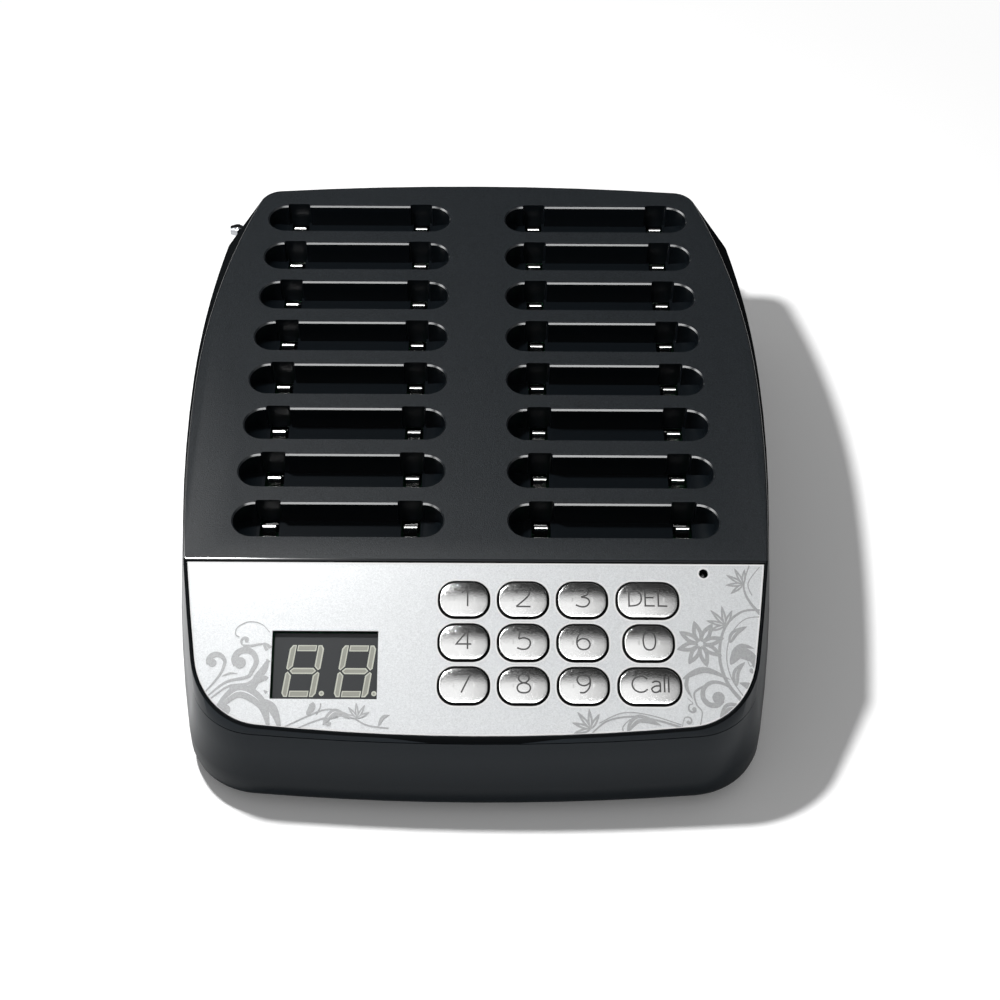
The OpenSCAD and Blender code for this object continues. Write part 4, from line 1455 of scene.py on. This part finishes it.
@dataclass
class Studio:
    """Camera, floor and lights.

    The eye is millimetres. The lamp and the floor are metres. What reflections see is laid
    out by the direction's x, y and z.
    """

    focal: float = 61.2
    film: float = 36.0
    eye: tuple[float, float, float] = (0.0, -526.1, 563.5)
    pitch: float = 44.0
    roll: float = 0.3
    shift: float = 0.024
    lamp_at: tuple[float, float, float] = (-0.17, 0.0, 0.47)
    lamp_power: float = 40.0
    lamp_radius: float = 0.018
    fill: float = 0.28
    floor_size: float = 4.0
    floor_glow: float = 0.06
    floor_grey: float = 0.7
    paper_from: float = 0.36
    paper_rise: float = 3.0
    dark: float = 0.03
    front_edge: float = 0.04
    front_rise: float = 4.6
    front_top: float = 1.15
    left_edge: float = 0.8
    left_rise: float = 1.2
    left_least: float = 0.3
    strip_from: float = 0.6
    strip_height: float = 0.4
    strip_rise: float = 8.0
    glare: float = 8.0

    def camera(self) -> None:
        """Places the camera where the photograph was taken from."""
        data = bpy.data.cameras.new("camera")
        data.lens, data.sensor_width = self.focal, self.film
        data.shift_x = self.shift
        data.clip_start, data.clip_end = 0.01, 50.0
        made = Shop.stand("camera", data)
        turn = Matrix.Rotation(math.radians(self.pitch), 4, "X")
        roll = Matrix.Rotation(math.radians(self.roll), 4, "Z")
        made.matrix_world = Matrix.Translation([c * MM for c in self.eye]) @ turn @ roll
        bpy.context.scene.camera = made

    def lamps(self) -> None:
        """Adds the near key lamp, left above the object, with an even reach."""
        data = bpy.data.lights.new("key_lamp", "POINT")
        data.energy, data.shadow_soft_size = self.lamp_power, self.lamp_radius
        data.use_nodes = True
        board = Board(data.node_tree)
        even = board.node("ShaderNodeLightFalloff", None, {"Strength": 1.0})
        board.end("Light", board.glow(board.out(even, "Constant")))
        Shop.stand("key_lamp", data).location = self.lamp_at

    def world(self) -> None:
        """Even fill light. Reflections see a bright front and top, and a dark rear."""
        world = bpy.data.worlds.new("studio")
        world.use_nodes = True
        bpy.context.scene.world = world
        board = Board(world.node_tree)
        glossy, camera = board.seen_by("Glossy"), board.seen_by("Camera", "Transmission")
        way = board.node("ShaderNodeSeparateXYZ", None, {
            0: board.out(board.node("ShaderNodeTexCoord"), "Generated")})
        x, y, z = (board.out(way, i) for i in range(3))
        front = ((self.front_edge - y) * self.front_rise).clamped(0.0, self.front_top)
        left = ((self.left_edge - x) * self.left_rise).clamped(self.left_least, 1.0)
        high = ((z - self.strip_height) * self.strip_rise).clamped()
        strips = [((-self.strip_from - axis) * self.strip_rise).clamped() * high
                  for axis in (y, x)]
        sheen = front * left + (strips[0] + strips[1]) * self.glare + self.dark
        strength = camera + (1.0 - camera) * (glossy * sheen + (1.0 - glossy) * self.fill)
        back = board.node("ShaderNodeBackground", None, {
            "Color": (*WHITE, 1.0), "Strength": strength})
        board.end("World", board.out(back))

    def floor(self) -> None:
        """A pale floor that stays white around the object's shadow and far away."""
        mesh = bmesh.new()
        bmesh.ops.create_grid(mesh, x_segments=1, y_segments=1, size=self.floor_size)
        data = bpy.data.meshes.new("floor")
        mesh.to_mesh(data)
        mesh.free()
        Shop.stand("floor", data)
        material = bpy.data.materials.new("floor_paper")
        material.use_nodes = True
        board = Board(material.node_tree)
        lit = board.out(board.node("ShaderNodeAddShader", None, {
            0: board.matt(WHITE), 1: board.glow(self.floor_glow)}))
        away = board.out(board.node("ShaderNodeVectorMath", {"operation": "LENGTH"},
                                    {0: board.place()}), "Value")
        far = board.mixed(((away - self.paper_from) * self.paper_rise).clamped(),
                          lit, board.glow(1.0))
        seen = board.seen_by("Camera", "Glossy", "Transmission")
        board.end("Material", board.mixed(seen, board.matt((self.floor_grey,) * 3), far))
        data.materials.append(material)

    def build(self) -> None:
        """Sets the studio up."""
        bpy.context.scene.view_settings.view_transform = "Standard"
        self.camera()
        self.lamps()
        self.world()
        self.floor()


def main() -> None:
    """Builds the studio and every sub-assembly in order."""
    logging.basicConfig(level=logging.INFO, format="%(message)s")
    Studio().build()
    for part in (Case(), Panel(), Display(), Keypad(), SlotContacts(), Antenna()):
        part.build()
        log.info("%s is done", type(part).__name__)


if __name__ == "__main__":
    main()
